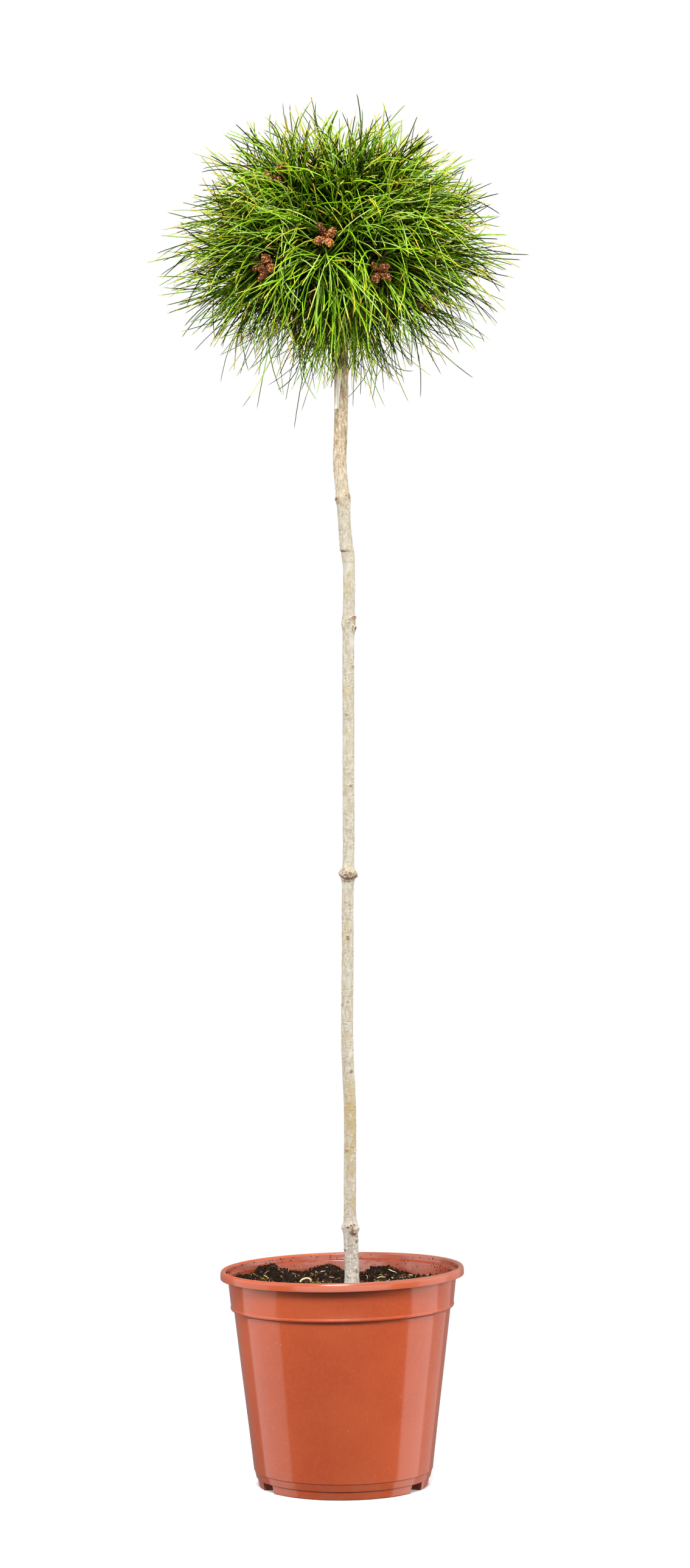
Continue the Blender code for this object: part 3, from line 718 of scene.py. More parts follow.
def add_strands(shape, paths, radii, sides, aside, slots):
    """Adds closed tapering tubes whose last path point is their sharp tip.

    The slots are one for each path, or one for each step of each path.
    """
    count, steps = paths.shape[0], paths.shape[1] - 1
    radii = np.concatenate([radii, radii[:, -1:]], axis=1)
    rings = tube_rings(paths, radii, sides, aside)[:, :steps]
    body = rings.reshape(count, steps * sides, 3)
    points = np.concatenate([body, paths[:, -1:, :]], axis=1)
    size = steps * sides + 1
    offset = (np.arange(count) * size)[:, None, None]
    quads = ring_quads(steps, sides)[None] + offset
    slots = np.asarray(slots)
    if slots.ndim == 1:
        slots = np.repeat(slots[:, None], steps, axis=1)
    side = np.arange(sides)
    last = (steps - 1) * sides
    tips = np.stack([last + side, last + (side + 1) % sides, np.full(sides, size - 1)], axis=1)
    tips = tips[None] + offset
    shape.add(points, quads.reshape(-1, 4), np.repeat(slots[:, :-1].ravel(), sides))
    shape.more_faces(tips.reshape(-1, 3), np.repeat(slots[:, -1], sides))
    roots = np.arange(sides)[::-1][None, None, :] + offset
    shape.more_faces(roots.reshape(-1, sides), slots[:, 0])


def turned_matrices(rng, count):
    """Random turns as an array of matrices."""
    q = unit(rng.normal(size=(count, 4)))
    w, x, y, z = q.T
    rows = [
        [1 - 2 * (y * y + z * z), 2 * (x * y - z * w), 2 * (x * z + y * w)],
        [2 * (x * y + z * w), 1 - 2 * (x * x + z * z), 2 * (y * z - x * w)],
        [2 * (x * z - y * w), 2 * (y * z + x * w), 1 - 2 * (x * x + y * y)],
    ]
    return np.moveaxis(np.array(rows), 2, 0)


def ball(subdivisions):
    """Points and faces of a unit ball of triangles."""
    made = bmesh.new()
    bmesh.ops.create_icosphere(made, subdivisions=subdivisions, radius=1.0)
    points = np.array([vertex.co[:] for vertex in made.verts])
    faces = np.array([[vertex.index for vertex in face.verts] for face in made.faces])
    made.free()
    return points, faces


def add_lumps(shape, rng, places, sizes, subdivisions, rough, slots, turns=None):
    """Adds many rough balls: places (n, 3) and sizes (n, 3)."""
    points, faces = ball(subdivisions)
    count = len(places)
    body = points[None] * (1.0 + rough * rng.uniform(-1.0, 1.0, (count, len(points), 1)))
    body = body * sizes[:, None, :]
    turns = turned_matrices(rng, count) if turns is None else turns
    body = np.einsum("nij,nkj->nki", turns, body) + places[:, None, :]
    offset = (np.arange(count) * len(points))[:, None, None]
    shape.add(body, (faces[None] + offset).reshape(-1, 3), np.repeat(slots, len(faces)))


def blend(table, at):
    """The values of a table of (place, value) pairs, with smooth steps between its rows."""
    rows = np.array(table)
    at = np.asarray(at, float)
    spot = np.clip(np.searchsorted(rows[:, 0], at) - 1, 0, len(rows) - 2)
    share = np.clip((at - rows[spot, 0]) / (rows[spot + 1, 0] - rows[spot, 0]), 0.0, 1.0)
    share = share * share * (3.0 - 2.0 * share)
    return rows[spot, 1] + (rows[spot + 1, 1] - rows[spot, 1]) * share


# Pot


def inner_radius(height):
    """Radius of the pot's inner wall at a height."""
    heights = (BODY_FOOT, BODY_TOP + 0.0014, COLLAR_FOOT + 0.0006, LEDGE - 0.0015)
    radii = (BODY_FOOT_RADIUS, BODY_TOP_RADIUS, COLLAR_FOOT_RADIUS, COLLAR_TOP_RADIUS)
    return np.interp(height, heights, radii) - POT_WALL


def sag(points):
    """The full pot sags: everything in it stands a little higher towards +X and towards the rim."""
    points[..., 2] += points[..., 0] * RIM_RISE * points[..., 2] / POT_HEIGHT
    return points


def pot_profile():
    """Radius, height and rounding of each corner: up the inside, over the lip, down the outside."""
    floor = FLOOR + FLOOR_THICK
    inside = [
        (float(inner_radius(height)), height, 0.0012)
        for height in (BODY_TOP + 0.0014, COLLAR_FOOT + 0.0006, LEDGE - 0.0015)
    ]
    return (
        [(0.0, floor, 0.0), (BAND_FOOT_RADIUS - POT_WALL, floor, 0.0010)]
        + inside
        + [
            (LEDGE_RADIUS, LEDGE, 0.0005),
            (LEDGE_RADIUS + 0.0007, POT_HEIGHT - 0.0015, 0.0009),
            (LIP_RADIUS - 0.0040, POT_HEIGHT, 0.0012),
            (LIP_RADIUS - 0.0012, POT_HEIGHT - 0.0004, 0.0014),
            (LIP_RADIUS, POT_HEIGHT - 0.0030, 0.0012),
            (LIP_RADIUS, LIP_FOOT, 0.0006),
            (COLLAR_TOP_RADIUS, LIP_FOOT, 0.0006),
            (COLLAR_FOOT_RADIUS + 0.0002, COLLAR_FOOT + 0.0030, 0.0003),
            (COLLAR_FOOT_RADIUS + 0.0008, COLLAR_FOOT + 0.0016, 0.0004),
            (COLLAR_FOOT_RADIUS + 0.0003, COLLAR_FOOT - 0.0002, 0.0005),
            (BODY_TOP_RADIUS + 0.0012, COLLAR_FOOT - 0.0009, 0.0006),
            (BODY_TOP_RADIUS + 0.0003, COLLAR_FOOT - 0.0024, 0.0008),
            (BODY_TOP_RADIUS, BODY_TOP, 0.0010),
            (BODY_FOOT_RADIUS, BODY_FOOT, 0.0002),
            (BODY_FOOT_RADIUS - 0.0007, BODY_FOOT - 0.0006, 0.0003),
            (BAND_FOOT_RADIUS, FOOT_TOP, 0.0004),
            (BAND_FOOT_RADIUS - 0.0012, FOOT_TOP - 0.0004, 0.0002),
            (FOOT_RADIUS, 0.0, 0.0007),
            (FOOT_RADIUS - FOOT_THICK, 0.0, 0.0004),
            (FOOT_RADIUS - FOOT_THICK, FLOOR, 0.0003),
            (0.0, FLOOR, 0.0),
        ]
    )


def rounded(profile):
    """The profile with a small arc at each corner."""
    points = [Vector(row[:2]) for row in profile]
    made = [points[0]]
    for before, corner, after, row in zip(points, points[1:], points[2:], profile[1:]):
        cut = min(row[2], 0.45 * (corner - before).length, 0.45 * (after - corner).length)
        first = corner + (before - corner).normalized() * cut
        last = corner + (after - corner).normalized() * cut
        for step in range(FILLET_STEPS):
            share = step / (FILLET_STEPS - 1.0)
            keep = 1.0 - share
            made.append(first * keep * keep + corner * 2.0 * keep * share + last * share * share)
    made.append(points[-1])
    return made


def pot_plastic():
    look = Finish("terracotta_plastic", roughness=0.2, specular=0.5)
    colour = tuple(settings().pot_colour)
    cloud = look.noise(9.0, 4.0)
    fine = look.noise(260.0, 2.0)
    dull, bright = tinted(colour, (0.95, 0.92, 0.90)), tinted(colour, (1.05, 1.1, 1.12))
    tone = look.mix(cloud.between(0.35, 0.65), dull, bright)
    tone = look.mix(fine.between(0.45, 0.62) * 0.12, tone, tinted(colour, (1.25, 1.7, 2.2)))
    scuffs = look.noise(520.0, 1.0, stretch=0.35).between(0.70, 0.78)
    patches = look.noise(22.0, 2.0).between(0.50, 0.62)
    height = look.height()
    worn = scuffs * patches
    tone = look.mix(worn * 0.40, tone, tinted(colour, (1.4, 3.0, 4.5)))
    dust = (1.0 - height.between(0.004, 0.035)) * look.noise(60.0, 4.0).between(0.42, 0.68)
    tone = look.mix(dust * 0.16, tone, (0.36, 0.17, 0.11))
    lip = height.between(0.2216, 0.2222)
    # Painted sheen: the lip and all above its foot are paler and pinker, standing in for the lip's
    # gloss.
    tone = look.mix(lip * 0.30, tone, (0.36, 0.095, 0.050))
    # Painted shade: the top of the lip is darker and duller, to damp the lamps' light on it.
    tone = look.mix(height.between(0.2290, 0.2305) * 0.70, tone, (0.25, 0.100, 0.064))
    look.feed("Base Color", tone)
    look.feed("Roughness", 0.09 + cloud * 0.06 + worn * 0.3 + lip * 0.07)
    ripples = look.noise(34.0, 2.0, stretch=0.12)
    normal = look.bump(ripples, 0.00012, 0.5)
    look.feed("Normal", look.bump(look.noise(900.0, 2.0), 0.00001, 0.5, normal))
    return look


def pot_inside():
    """The same plastic, painted darker for the shade inside the pot, and smeared by damp peat low
    down.
    """
    look = Finish("terracotta_inside", roughness=0.28, specular=1.0)
    # Painted shade: the inside is darker than the outside plastic.
    colour = tinted(settings().pot_colour, (0.66, 0.70, 0.85))
    cloud = look.noise(30.0, 4.0)
    tone = look.mix(cloud.between(0.35, 0.7), colour, tinted(colour, (0.80, 0.78, 0.80)))
    low = 1.0 - look.height().between(0.203, 0.226)
    smear = look.noise(120.0, 5.0).between(0.52, 0.72) * low
    tone = look.mix(smear * 0.6, tone, (0.12, 0.040, 0.020))
    look.feed("Base Color", tone)
    look.feed("Roughness", 0.24 + smear * 0.5)
    return look


def moved(shape, place):
    bmesh.ops.translate(shape, vec=place, verts=shape.verts)
    return shape


def notch_block(angle):
    """A block that cuts one notch in the pot's foot, wider at the ground."""
    shape = bmesh.new()
    bmesh.ops.create_cube(shape, size=1.0)
    bmesh.ops.scale(shape, vec=(NOTCH_DEPTH, NOTCH_WIDTH, NOTCH_HEIGHT + 0.002), verts=shape.verts)
    for vertex in shape.verts:
        if vertex.co.z < 0.0:
            vertex.co.y *= NOTCH_FLARE
    moved(shape, (FOOT_RADIUS - 0.0005, 0.0, NOTCH_HEIGHT / 2.0 - 0.001))
    turn = Matrix.Rotation(math.radians(angle - 90.0), 4, "Z")
    bmesh.ops.transform(shape, matrix=turn, verts=shape.verts)
    return shape


def drain_bar(index):
    """A bar that cuts one drain hole in the pot's floor."""
    angle = math.tau * (index + 0.5) / DRAIN_COUNT
    shape = bmesh.new()
    radii = {"radius1": DRAIN_RADIUS, "radius2": DRAIN_RADIUS}
    bmesh.ops.create_cone(shape, cap_ends=True, segments=24, depth=4.0 * FLOOR_THICK, **radii)
    height = FLOOR + FLOOR_THICK / 2.0
    return moved(shape, (DRAIN_CIRCLE * math.cos(angle), DRAIN_CIRCLE * math.sin(angle), height))


def make_pot():
    profile = rounded(pot_profile())
    middle = profile[1:-1]
    angles = all_round(POT_SIDES)
    points = [(p.x * math.cos(a), p.x * math.sin(a), p.y) for p in middle for a in angles]
    points += [(0.0, 0.0, profile[0].y), (0.0, 0.0, profile[-1].y)]
    shape = Shape()
    add_closed_tube(shape, np.array(points), POT_SIDES, inward=True)
    mesh = shape.mesh("pot_shell", [pot_plastic(), pot_inside()])
    piece = in_scene("pot_shell", mesh)
    used = [piece]
    cutters = [notch_block(angle) for angle in NOTCH_ANGLES]
    for made in cutters + [drain_bar(index) for index in range(DRAIN_COUNT)]:
        tool_mesh = bpy.data.meshes.new("tool")
        made.to_mesh(tool_mesh)
        made.free()
        tool = in_scene("tool", tool_mesh)
        cut = piece.modifiers.new("cut", "BOOLEAN")
        cut.operation = "DIFFERENCE"
        cut.object = tool
        cut.solver = "EXACT"
        used.append(tool)
    result = piece.evaluated_get(bpy.context.evaluated_depsgraph_get())
    pot = bpy.data.meshes.new_from_object(result)
    for item in used:
        bpy.data.objects.remove(item, do_unlink=True)
    points = np.zeros(len(pot.vertices) * 3, np.float32)
    pot.vertices.foreach_get("co", points)
    points = sag(points.reshape(-1, 3))
    pot.vertices.foreach_set("co", points.ravel())
    for face in pot.polygons:
        radius = math.hypot(face.center.x, face.center.y)
        outward = face.normal.x * face.center.x + face.normal.y * face.center.y
        within = radius < LEDGE_RADIUS + 0.0004 and face.center.z > FLOOR
        face.material_index = int(within and outward < 0.0)
    pot.name = "pot"
    pot.update()
    pot.shade_smooth()
    pot.set_sharp_from_angle(angle=math.radians(POT_SHARP))
    return new_piece("plastic_pot", pot, ["pot"])


# Soil


def soil_height(x, y):
    """Level of the soil's top: flat round the trunk, with mounds towards the wall."""
    level = np.full(np.shape(x), SOIL_LEVEL)
    for mound_x, mound_y, height, spread in SOIL_MOUNDS:
        away = np.hypot(x - mound_x, y - mound_y) / spread
        level = level + height * np.exp(-away * away)
    level = level + 0.0012 * np.sin(95.0 * x + 40.0 * y) * np.sin(70.0 * y - 30.0 * x)
    from_trunk = np.hypot(x - TRUNK_BENDS[0][1], y)
    share = np.clip((from_trunk - SOIL_FLAT) / 0.02, 0.0, 1.0)
    return np.minimum(SOIL_LEVEL + (level - SOIL_LEVEL) * share, SOIL_TOP_LIMIT)


def clumps(x, y):
    """Fine relief of the peat at places given as flat arrays."""
    made = np.zeros(len(x))
    for scale, height in SOIL_CLUMPS:
        for spot in range(len(x)):
            made[spot] += height * noise.noise(Vector((x[spot] * scale, y[spot] * scale, scale)))
    return made


def soil_surface(x, y):
    """Top of the peat with its clumps, banked up a little round the trunk, before the pot's sag."""
    x = np.atleast_1d(x)
    y = np.atleast_1d(y)
    bank = np.exp(-(((np.hypot(x - TRUNK_BENDS[0][1], y) - 0.009) / 0.006) ** 2))
    return soil_height(x, y) + clumps(x, y) + 0.0016 * bank


def peat():
    look = Finish("peat", roughness=0.92, specular=0.08)
    colour = tuple(settings().peat_colour)
    grain = look.noise(420.0, 6.0, 0.7)
    damp = look.noise(55.0, 3.0)
    wet, dry = tinted(colour, (0.25, 0.25, 0.25)), tinted(colour, (1.6, 1.5, 1.4))
    tone = look.mix(grain.between(0.42, 0.68), wet, dry)
    tone = look.mix(damp.between(0.5, 0.75) * 0.35, tone, tinted(colour, (2.6, 2.3, 2.0)))
    bits = 1.0 - look.cells(430.0).between(0.08, 0.16)
    bits = bits * look.noise(140.0, 1.0).between(0.56, 0.62)
    tone = look.mix(bits * 0.7, tone, (0.20, 0.11, 0.055))
    look.feed("Base Color", tone)
    look.feed("Roughness", 0.98 - damp * 0.25)
    look.feed("Normal", look.bump(grain, 0.0011, 0.9))
    return look


def grained(name, colour, roughness, scale, spread, relief, specular=0.3):
    """A finish for bits in the soil, buds and twigs: darker and lighter grain of one colour."""
    look = Finish(name, roughness=roughness, specular=specular)
    grain = look.noise(scale, 4.0, 0.65)
    dark = tinted(colour, (1.0 - spread,) * 3)
    light = tinted(colour, (1.0 + spread,) * 3)
    look.feed("Base Color", look.mix(grain.between(0.36, 0.66), dark, light))
    look.feed("Roughness", roughness - 0.1 + grain * 0.2)
    look.feed("Normal", look.bump(grain, relief, 0.8))
    return look


def make_soil():
    edge = float(inner_radius(SOIL_LEVEL)) - GAP
    angles = all_round(SOIL_AROUND)
    shares = (np.arange(1, SOIL_ACROSS + 1) / SOIL_ACROSS) ** 0.85
    radius, angle = np.meshgrid(shares * edge, angles, indexing="ij")
    x = (radius * np.cos(angle)).ravel()
    y = (radius * np.sin(angle)).ravel()
    z = soil_surface(x, y)
    near_wall = np.clip((np.hypot(x, y) / edge - 0.93) / 0.07, 0.0, 1.0)
    grow = 1.0 + near_wall * ((inner_radius(z) - GAP) / edge - 1.0)
    rings = [np.stack([x * grow, y * grow, z], axis=1)]
    floor = FLOOR + FLOOR_THICK + GAP
    heights = (COLLAR_FOOT - 0.001, BODY_TOP - 0.001)
    walls = [(height, float(inner_radius(height))) for height in heights]
    for height, wall in walls + [(floor, BAND_FOOT_RADIUS - POT_WALL)]:
        wall -= GAP
        level = np.full(SOIL_AROUND, height)
        rings.append(np.stack([wall * np.cos(angles), wall * np.sin(angles), level], axis=1))
    ends = np.array([[0.0, 0.0, float(soil_surface(0.0, 0.0)[0])], [0.0, 0.0, floor]])
    shape = Shape()
    add_closed_tube(shape, sag(np.concatenate(rings + [ends])), SOIL_AROUND, inward=True)
    new_piece("peat_fill", shape.mesh("peat_fill", [peat()]), ["soil"])


def on_soil(rng, count, inner, outer):
    """Places on the soil's top, clear of the trunk."""
    radius = np.sqrt(rng.uniform(inner**2, outer**2, count))
    angle = rng.uniform(0.0, math.tau, count)
    x = radius * np.cos(angle)
    y = radius * np.sin(angle)
    clear = np.hypot(x - TRUNK_BENDS[0][1], y) > TRUNK_CLEARING
    x, y = x[clear], y[clear]
    return sag(np.stack([x, y, soil_surface(x, y)], axis=1))


def moss_places(rng, count):
    """Places in the few strips of moss."""
    heart = np.array(MOSS_PLACES)[rng.integers(0, len(MOSS_PLACES), count)]
    spread = rng.normal(0.0, 1.0, (count, 2)) * heart[:, 2:] * (1.0, 0.35)
    east, north = math.cos(MOSS_SLANT), math.sin(MOSS_SLANT)
    near = heart[:, :2] + spread @ np.array([[east, -north], [north, east]])
    near = near[np.hypot(near[:, 0], near[:, 1]) < BITS_EDGE]
    return sag(np.column_stack([near, soil_surface(near[:, 0], near[:, 1])]))


def make_crumbs():
    """Crumbs of peat, chips of bark, moss and a few white grains on the soil."""
    rng = np.random.default_rng(SEED + 1)
    shape = Shape()
    for slot, (count, small, large, flat, lift) in enumerate(CRUMB_SIZES):
        places = on_soil(rng, count, 0.012, 0.112)
        if CRUMB_LOOKS[slot][0] == "moss_crumb":
            places = moss_places(rng, len(places))
        size = small + (large - small) * rng.random(len(places)) ** 3.0
        sizes = np.stack([size * rng.uniform(0.8, 1.6, len(size)), size, size * flat], axis=1)
        places[:, 2] += size * flat * lift
        add_lumps(shape, rng, places, sizes, 1, 0.34, np.full(len(places), slot))
    angle = rng.uniform(0.0, math.tau, SPLASHES)
    height = rng.uniform(*SPLASH_HEIGHTS, SPLASHES)
    wall = np.where(height < LEDGE - 0.001, inner_radius(height), LEDGE_RADIUS) - 0.0001
    size = 0.0002 + 0.0005 * rng.random(SPLASHES) ** 2.0
    places = sag(np.column_stack([wall * np.cos(angle), wall * np.sin(angle), height]))
    sizes = np.repeat(size[:, None], 3, axis=1)
    add_lumps(shape, rng, places, sizes, 1, 0.3, np.zeros(SPLASHES, int))
    looks = [grained(*row) for row in CRUMB_LOOKS]
    new_piece("soil_crumbs", shape.mesh("soil_crumbs", looks, smooth=False))


def make_fibres():
    """Straw, root ends and one thick looped root on the soil."""
    rng = np.random.default_rng(SEED + 2)
    looks = [
        grained("straw_fibre", (0.560, 0.420, 0.230), 0.75, 400.0, 0.25, 0.0002),
        grained("root_fibre", (0.140, 0.066, 0.032), 0.85, 400.0, 0.45, 0.0002),
        grained("moss_fibre", (0.330, 0.310, 0.060), 0.85, 400.0, 0.35, 0.0002),
    ]
    starts = on_soil(rng, FIBRES, 0.02, BITS_EDGE)
    count = len(starts)
    steps = 9
    slots = rng.choice([0, 1, 1, 1, 1, 1, 2], count)
    length = rng.uniform(0.003, 0.012, count)
    heading_angle = rng.uniform(0.0, math.tau, count)
    turn = rng.normal(0.0, 0.11, count)
    for spot, (x, y, long, way) in enumerate(STRAWS):
        starts[spot, :2] = x, y
        length[spot], heading_angle[spot] = long, math.radians(way)
        turn[spot], slots[spot] = 0.02, 0
    path = np.zeros((count, steps, 3))
    x, y = starts[:, 0].copy(), starts[:, 1].copy()
    lift = rng.uniform(0.0003, 0.0016, count)
    for step in range(steps):
        share = step / (steps - 1.0)
        inside = np.minimum(1.0, 0.111 / np.maximum(np.hypot(x, y), 1e-6))
        x, y = x * inside, y * inside
        point = sag(np.stack([x, y, soil_surface(x, y)], axis=1))
        point[:, 2] += 0.0006 + lift * math.sin(math.pi * share)
        path[:, step] = point
        heading_angle = heading_angle + turn + rng.normal(0.0, 0.08, count)
        x = x + np.cos(heading_angle) * length / steps
        y = y + np.sin(heading_angle) * length / steps
    path[:, 1:-1, 2] = (path[:, :-2, 2] + path[:, 1:-1, 2] + path[:, 2:, 2]) / 3.0 + 0.0002
    thick = rng.uniform(0.00014, 0.00034, count)
    thick[: len(STRAWS)] = 0.00052
    radii = thick[:, None] * np.array([0.5, 0.9, 1.0, 1.0, 0.95, 0.9, 0.8, 0.5])[None]
    shape = Shape()
    add_strands(shape, path, radii, 5, rng.normal(size=(count, 3)), slots)
    loop = loop_root()
    thick = np.full((1, len(loop) - 1), LOOP_RADIUS)
    add_strands(shape, loop[None], thick, 8, np.array([[0.0, 1.0, 0.0]]), np.array([0]))
    new_piece("soil_fibres", shape.mesh("soil_fibres", looks))


def loop_root():
    """A thick root that rises out of the peat in a loop, on the left."""
    turn = np.linspace(-LOOP_BURIED, math.pi + LOOP_BURIED, 17)
    x = LOOP_PLACE[0] - LOOP_HALF * np.cos(turn)
    y = LOOP_PLACE[1] + 0.0009 * turn
    ground = soil_surface(x, y)
    base = np.minimum(ground.min(), LOOP_BASE)
    z = base - 0.0004 + (LOOP_RISE - 0.0007 * np.cos(turn)) * np.sin(turn)
    return np.stack([x, y, z], axis=1)


# Trunk


def trunk_axis(height):
    height = np.asarray(height, float)
    return np.stack([blend(TRUNK_BENDS, height), np.zeros_like(height), height], axis=-1)


def trunk_radius(height, knot_share=1.0):
    radius = blend(TRUNK_THICKNESS, height)
    for knot, bulge in TRUNK_KNOTS:
        away = (np.asarray(height) - knot) / KNOT_HALF
        radius = radius + knot_share * bulge * np.exp(-away * away)
    return radius


def trunk_foot():
    """Height of the trunk's flat cut, just clear of the sagging soil."""
    edge = TRUNK_BENDS[0][1] + TRUNK_THICKNESS[0][1]
    return SOIL_LEVEL + edge * RIM_RISE * SOIL_LEVEL / POT_HEIGHT + GAP


def angle_off(angle, middle):
    return (angle - middle + math.pi) % math.tau - math.pi


def stem_noise(angle, height, around, along, shift=0.0):
    """Noise on the stem's side, at one scale round it and another along it."""
    east, north = math.sin(angle) * around, math.cos(angle) * around
    return noise.noise(Vector((east, north, height * along + shift)))


def bark_grain(heights, angles):
    """Rise of the bark's swells, grain and cracks, and how brown the cracks are."""
    relief = np.zeros((len(heights), len(angles)))
    brown = np.zeros_like(relief)
    for spot, height in enumerate(heights):
        rough = min(max((height - ROUGH_ABOVE) / ROUGH_OVER, 0.0), 1.0)
        low = min(max((LOW_BELOW - height) / LOW_OVER, 0.0), 1.0)
        depth = CRACK_DEPTHS[0] * rough + CRACK_DEPTHS[1] * low
        stain = CRACK_BROWN[0] * rough + CRACK_BROWN[1] * low
        for place, angle in enumerate(angles):
            swell = stem_noise(angle, height, 1.1, 55.0)
            grain = stem_noise(angle, height, 4.2, 150.0 - 60.0 * rough)
            cracks = abs(stem_noise(angle, height, 2.6, 26.0 + 340.0 * low, 9.0))
            relief[spot, place] = (
                SWELL_RISE * swell + (GRAIN_RISES[0] + GRAIN_RISES[1] * rough) * grain
                - depth * max(CRACK_WIDTH - cracks, 0.0) / CRACK_WIDTH
            )
            brown[spot, place] = stain * max(CRACK_HEART - cracks, 0.0) / CRACK_HEART
    return relief, brown


def trunk_relief(heights, angles):
    """Rise of the bark over the plain round trunk, and how brown it is at each point, with a
    painted shadow in brown just below each lenticel.
    """
    rng = np.random.default_rng(SEED + 3)
    relief, brown = bark_grain(heights, angles)

    def mark(field, height, angle, tall, wide, amount, radius=LUMP_ROUND):
        """Adds a round-topped mark to a field."""
        rows = np.nonzero(np.abs(heights - height) < 3.0 * tall)[0]
        up = (heights[rows][:, None] - height) / tall
        across = angle_off(angles, angle)[None, :] * radius / wide
        field[rows] += amount * np.exp(-(up * up + across * across))

    for height, angle, tall, wide, rise in zip(
        rng.uniform(heights[0], LENTICEL_TOP, LENTICELS),
        rng.uniform(-math.pi, math.pi, LENTICELS),
        *[rng.uniform(*span, LENTICELS) for span in LENTICEL_SPANS],
    ):
        mark(relief, height, angle, tall, wide, rise, LENTICEL_ROUND)
        mark(relief, height - 1.6 * tall, angle, tall, wide, -0.55 * rise, LENTICEL_ROUND)
        # Painted shadow: a touch of brown just below each lenticel.
        mark(brown, height - tall, angle, tall * 0.8, wide, 700.0 * rise, LENTICEL_ROUND)
    for height, degrees, wide, rise, scar, tint in LUMPS:
        angle = math.radians(degrees)
        mark(relief, height, angle, wide, wide, rise)
        if scar:
            mark(relief, height, angle, wide * 0.42, wide * 0.5, -rise * scar * 0.8)
            mark(relief, height, angle, wide * 0.2, wide * 0.22, rise * scar * 0.7)
        mark(brown, height, angle, wide * 0.62, wide * 0.7, tint * 1.3)
        for _ in range(7):
            around = rng.uniform(0.0, math.tau)
            away = wide * rng.uniform(0.7, 1.3)
            up, off = height + away * math.sin(around), angle + away * math.cos(around) / LUMP_ROUND
            mark(relief, up, off, 0.0009, 0.0010, rise * rng.uniform(0.1, 0.32))
            mark(brown, up - 0.0008, off, 0.0006, 0.0012, tint * 0.9)
    left = np.abs(angle_off(angles, math.radians(SHELF_MIDDLE))) / SHELF_SPREAD
    left = np.clip(1.0 - left, 0.0, 1.0) ** 0.6
    above = np.clip((SHELF_TOP - heights) / 0.036, 0.0, 1.0) ** 1.4
    above = above * np.clip((heights - SHELF_HEIGHT) / 0.0016, 0.0, 1.0)
    relief += SHELF_RISE * above[:, None] * left[None, :]
    edge = np.exp(-(((heights - SHELF_HEIGHT - 0.0004) / 0.0012) ** 2))
    brown += 1.2 * edge[:, None] * left[None, :]
    return relief, np.clip(brown, 0.0, 1.0)


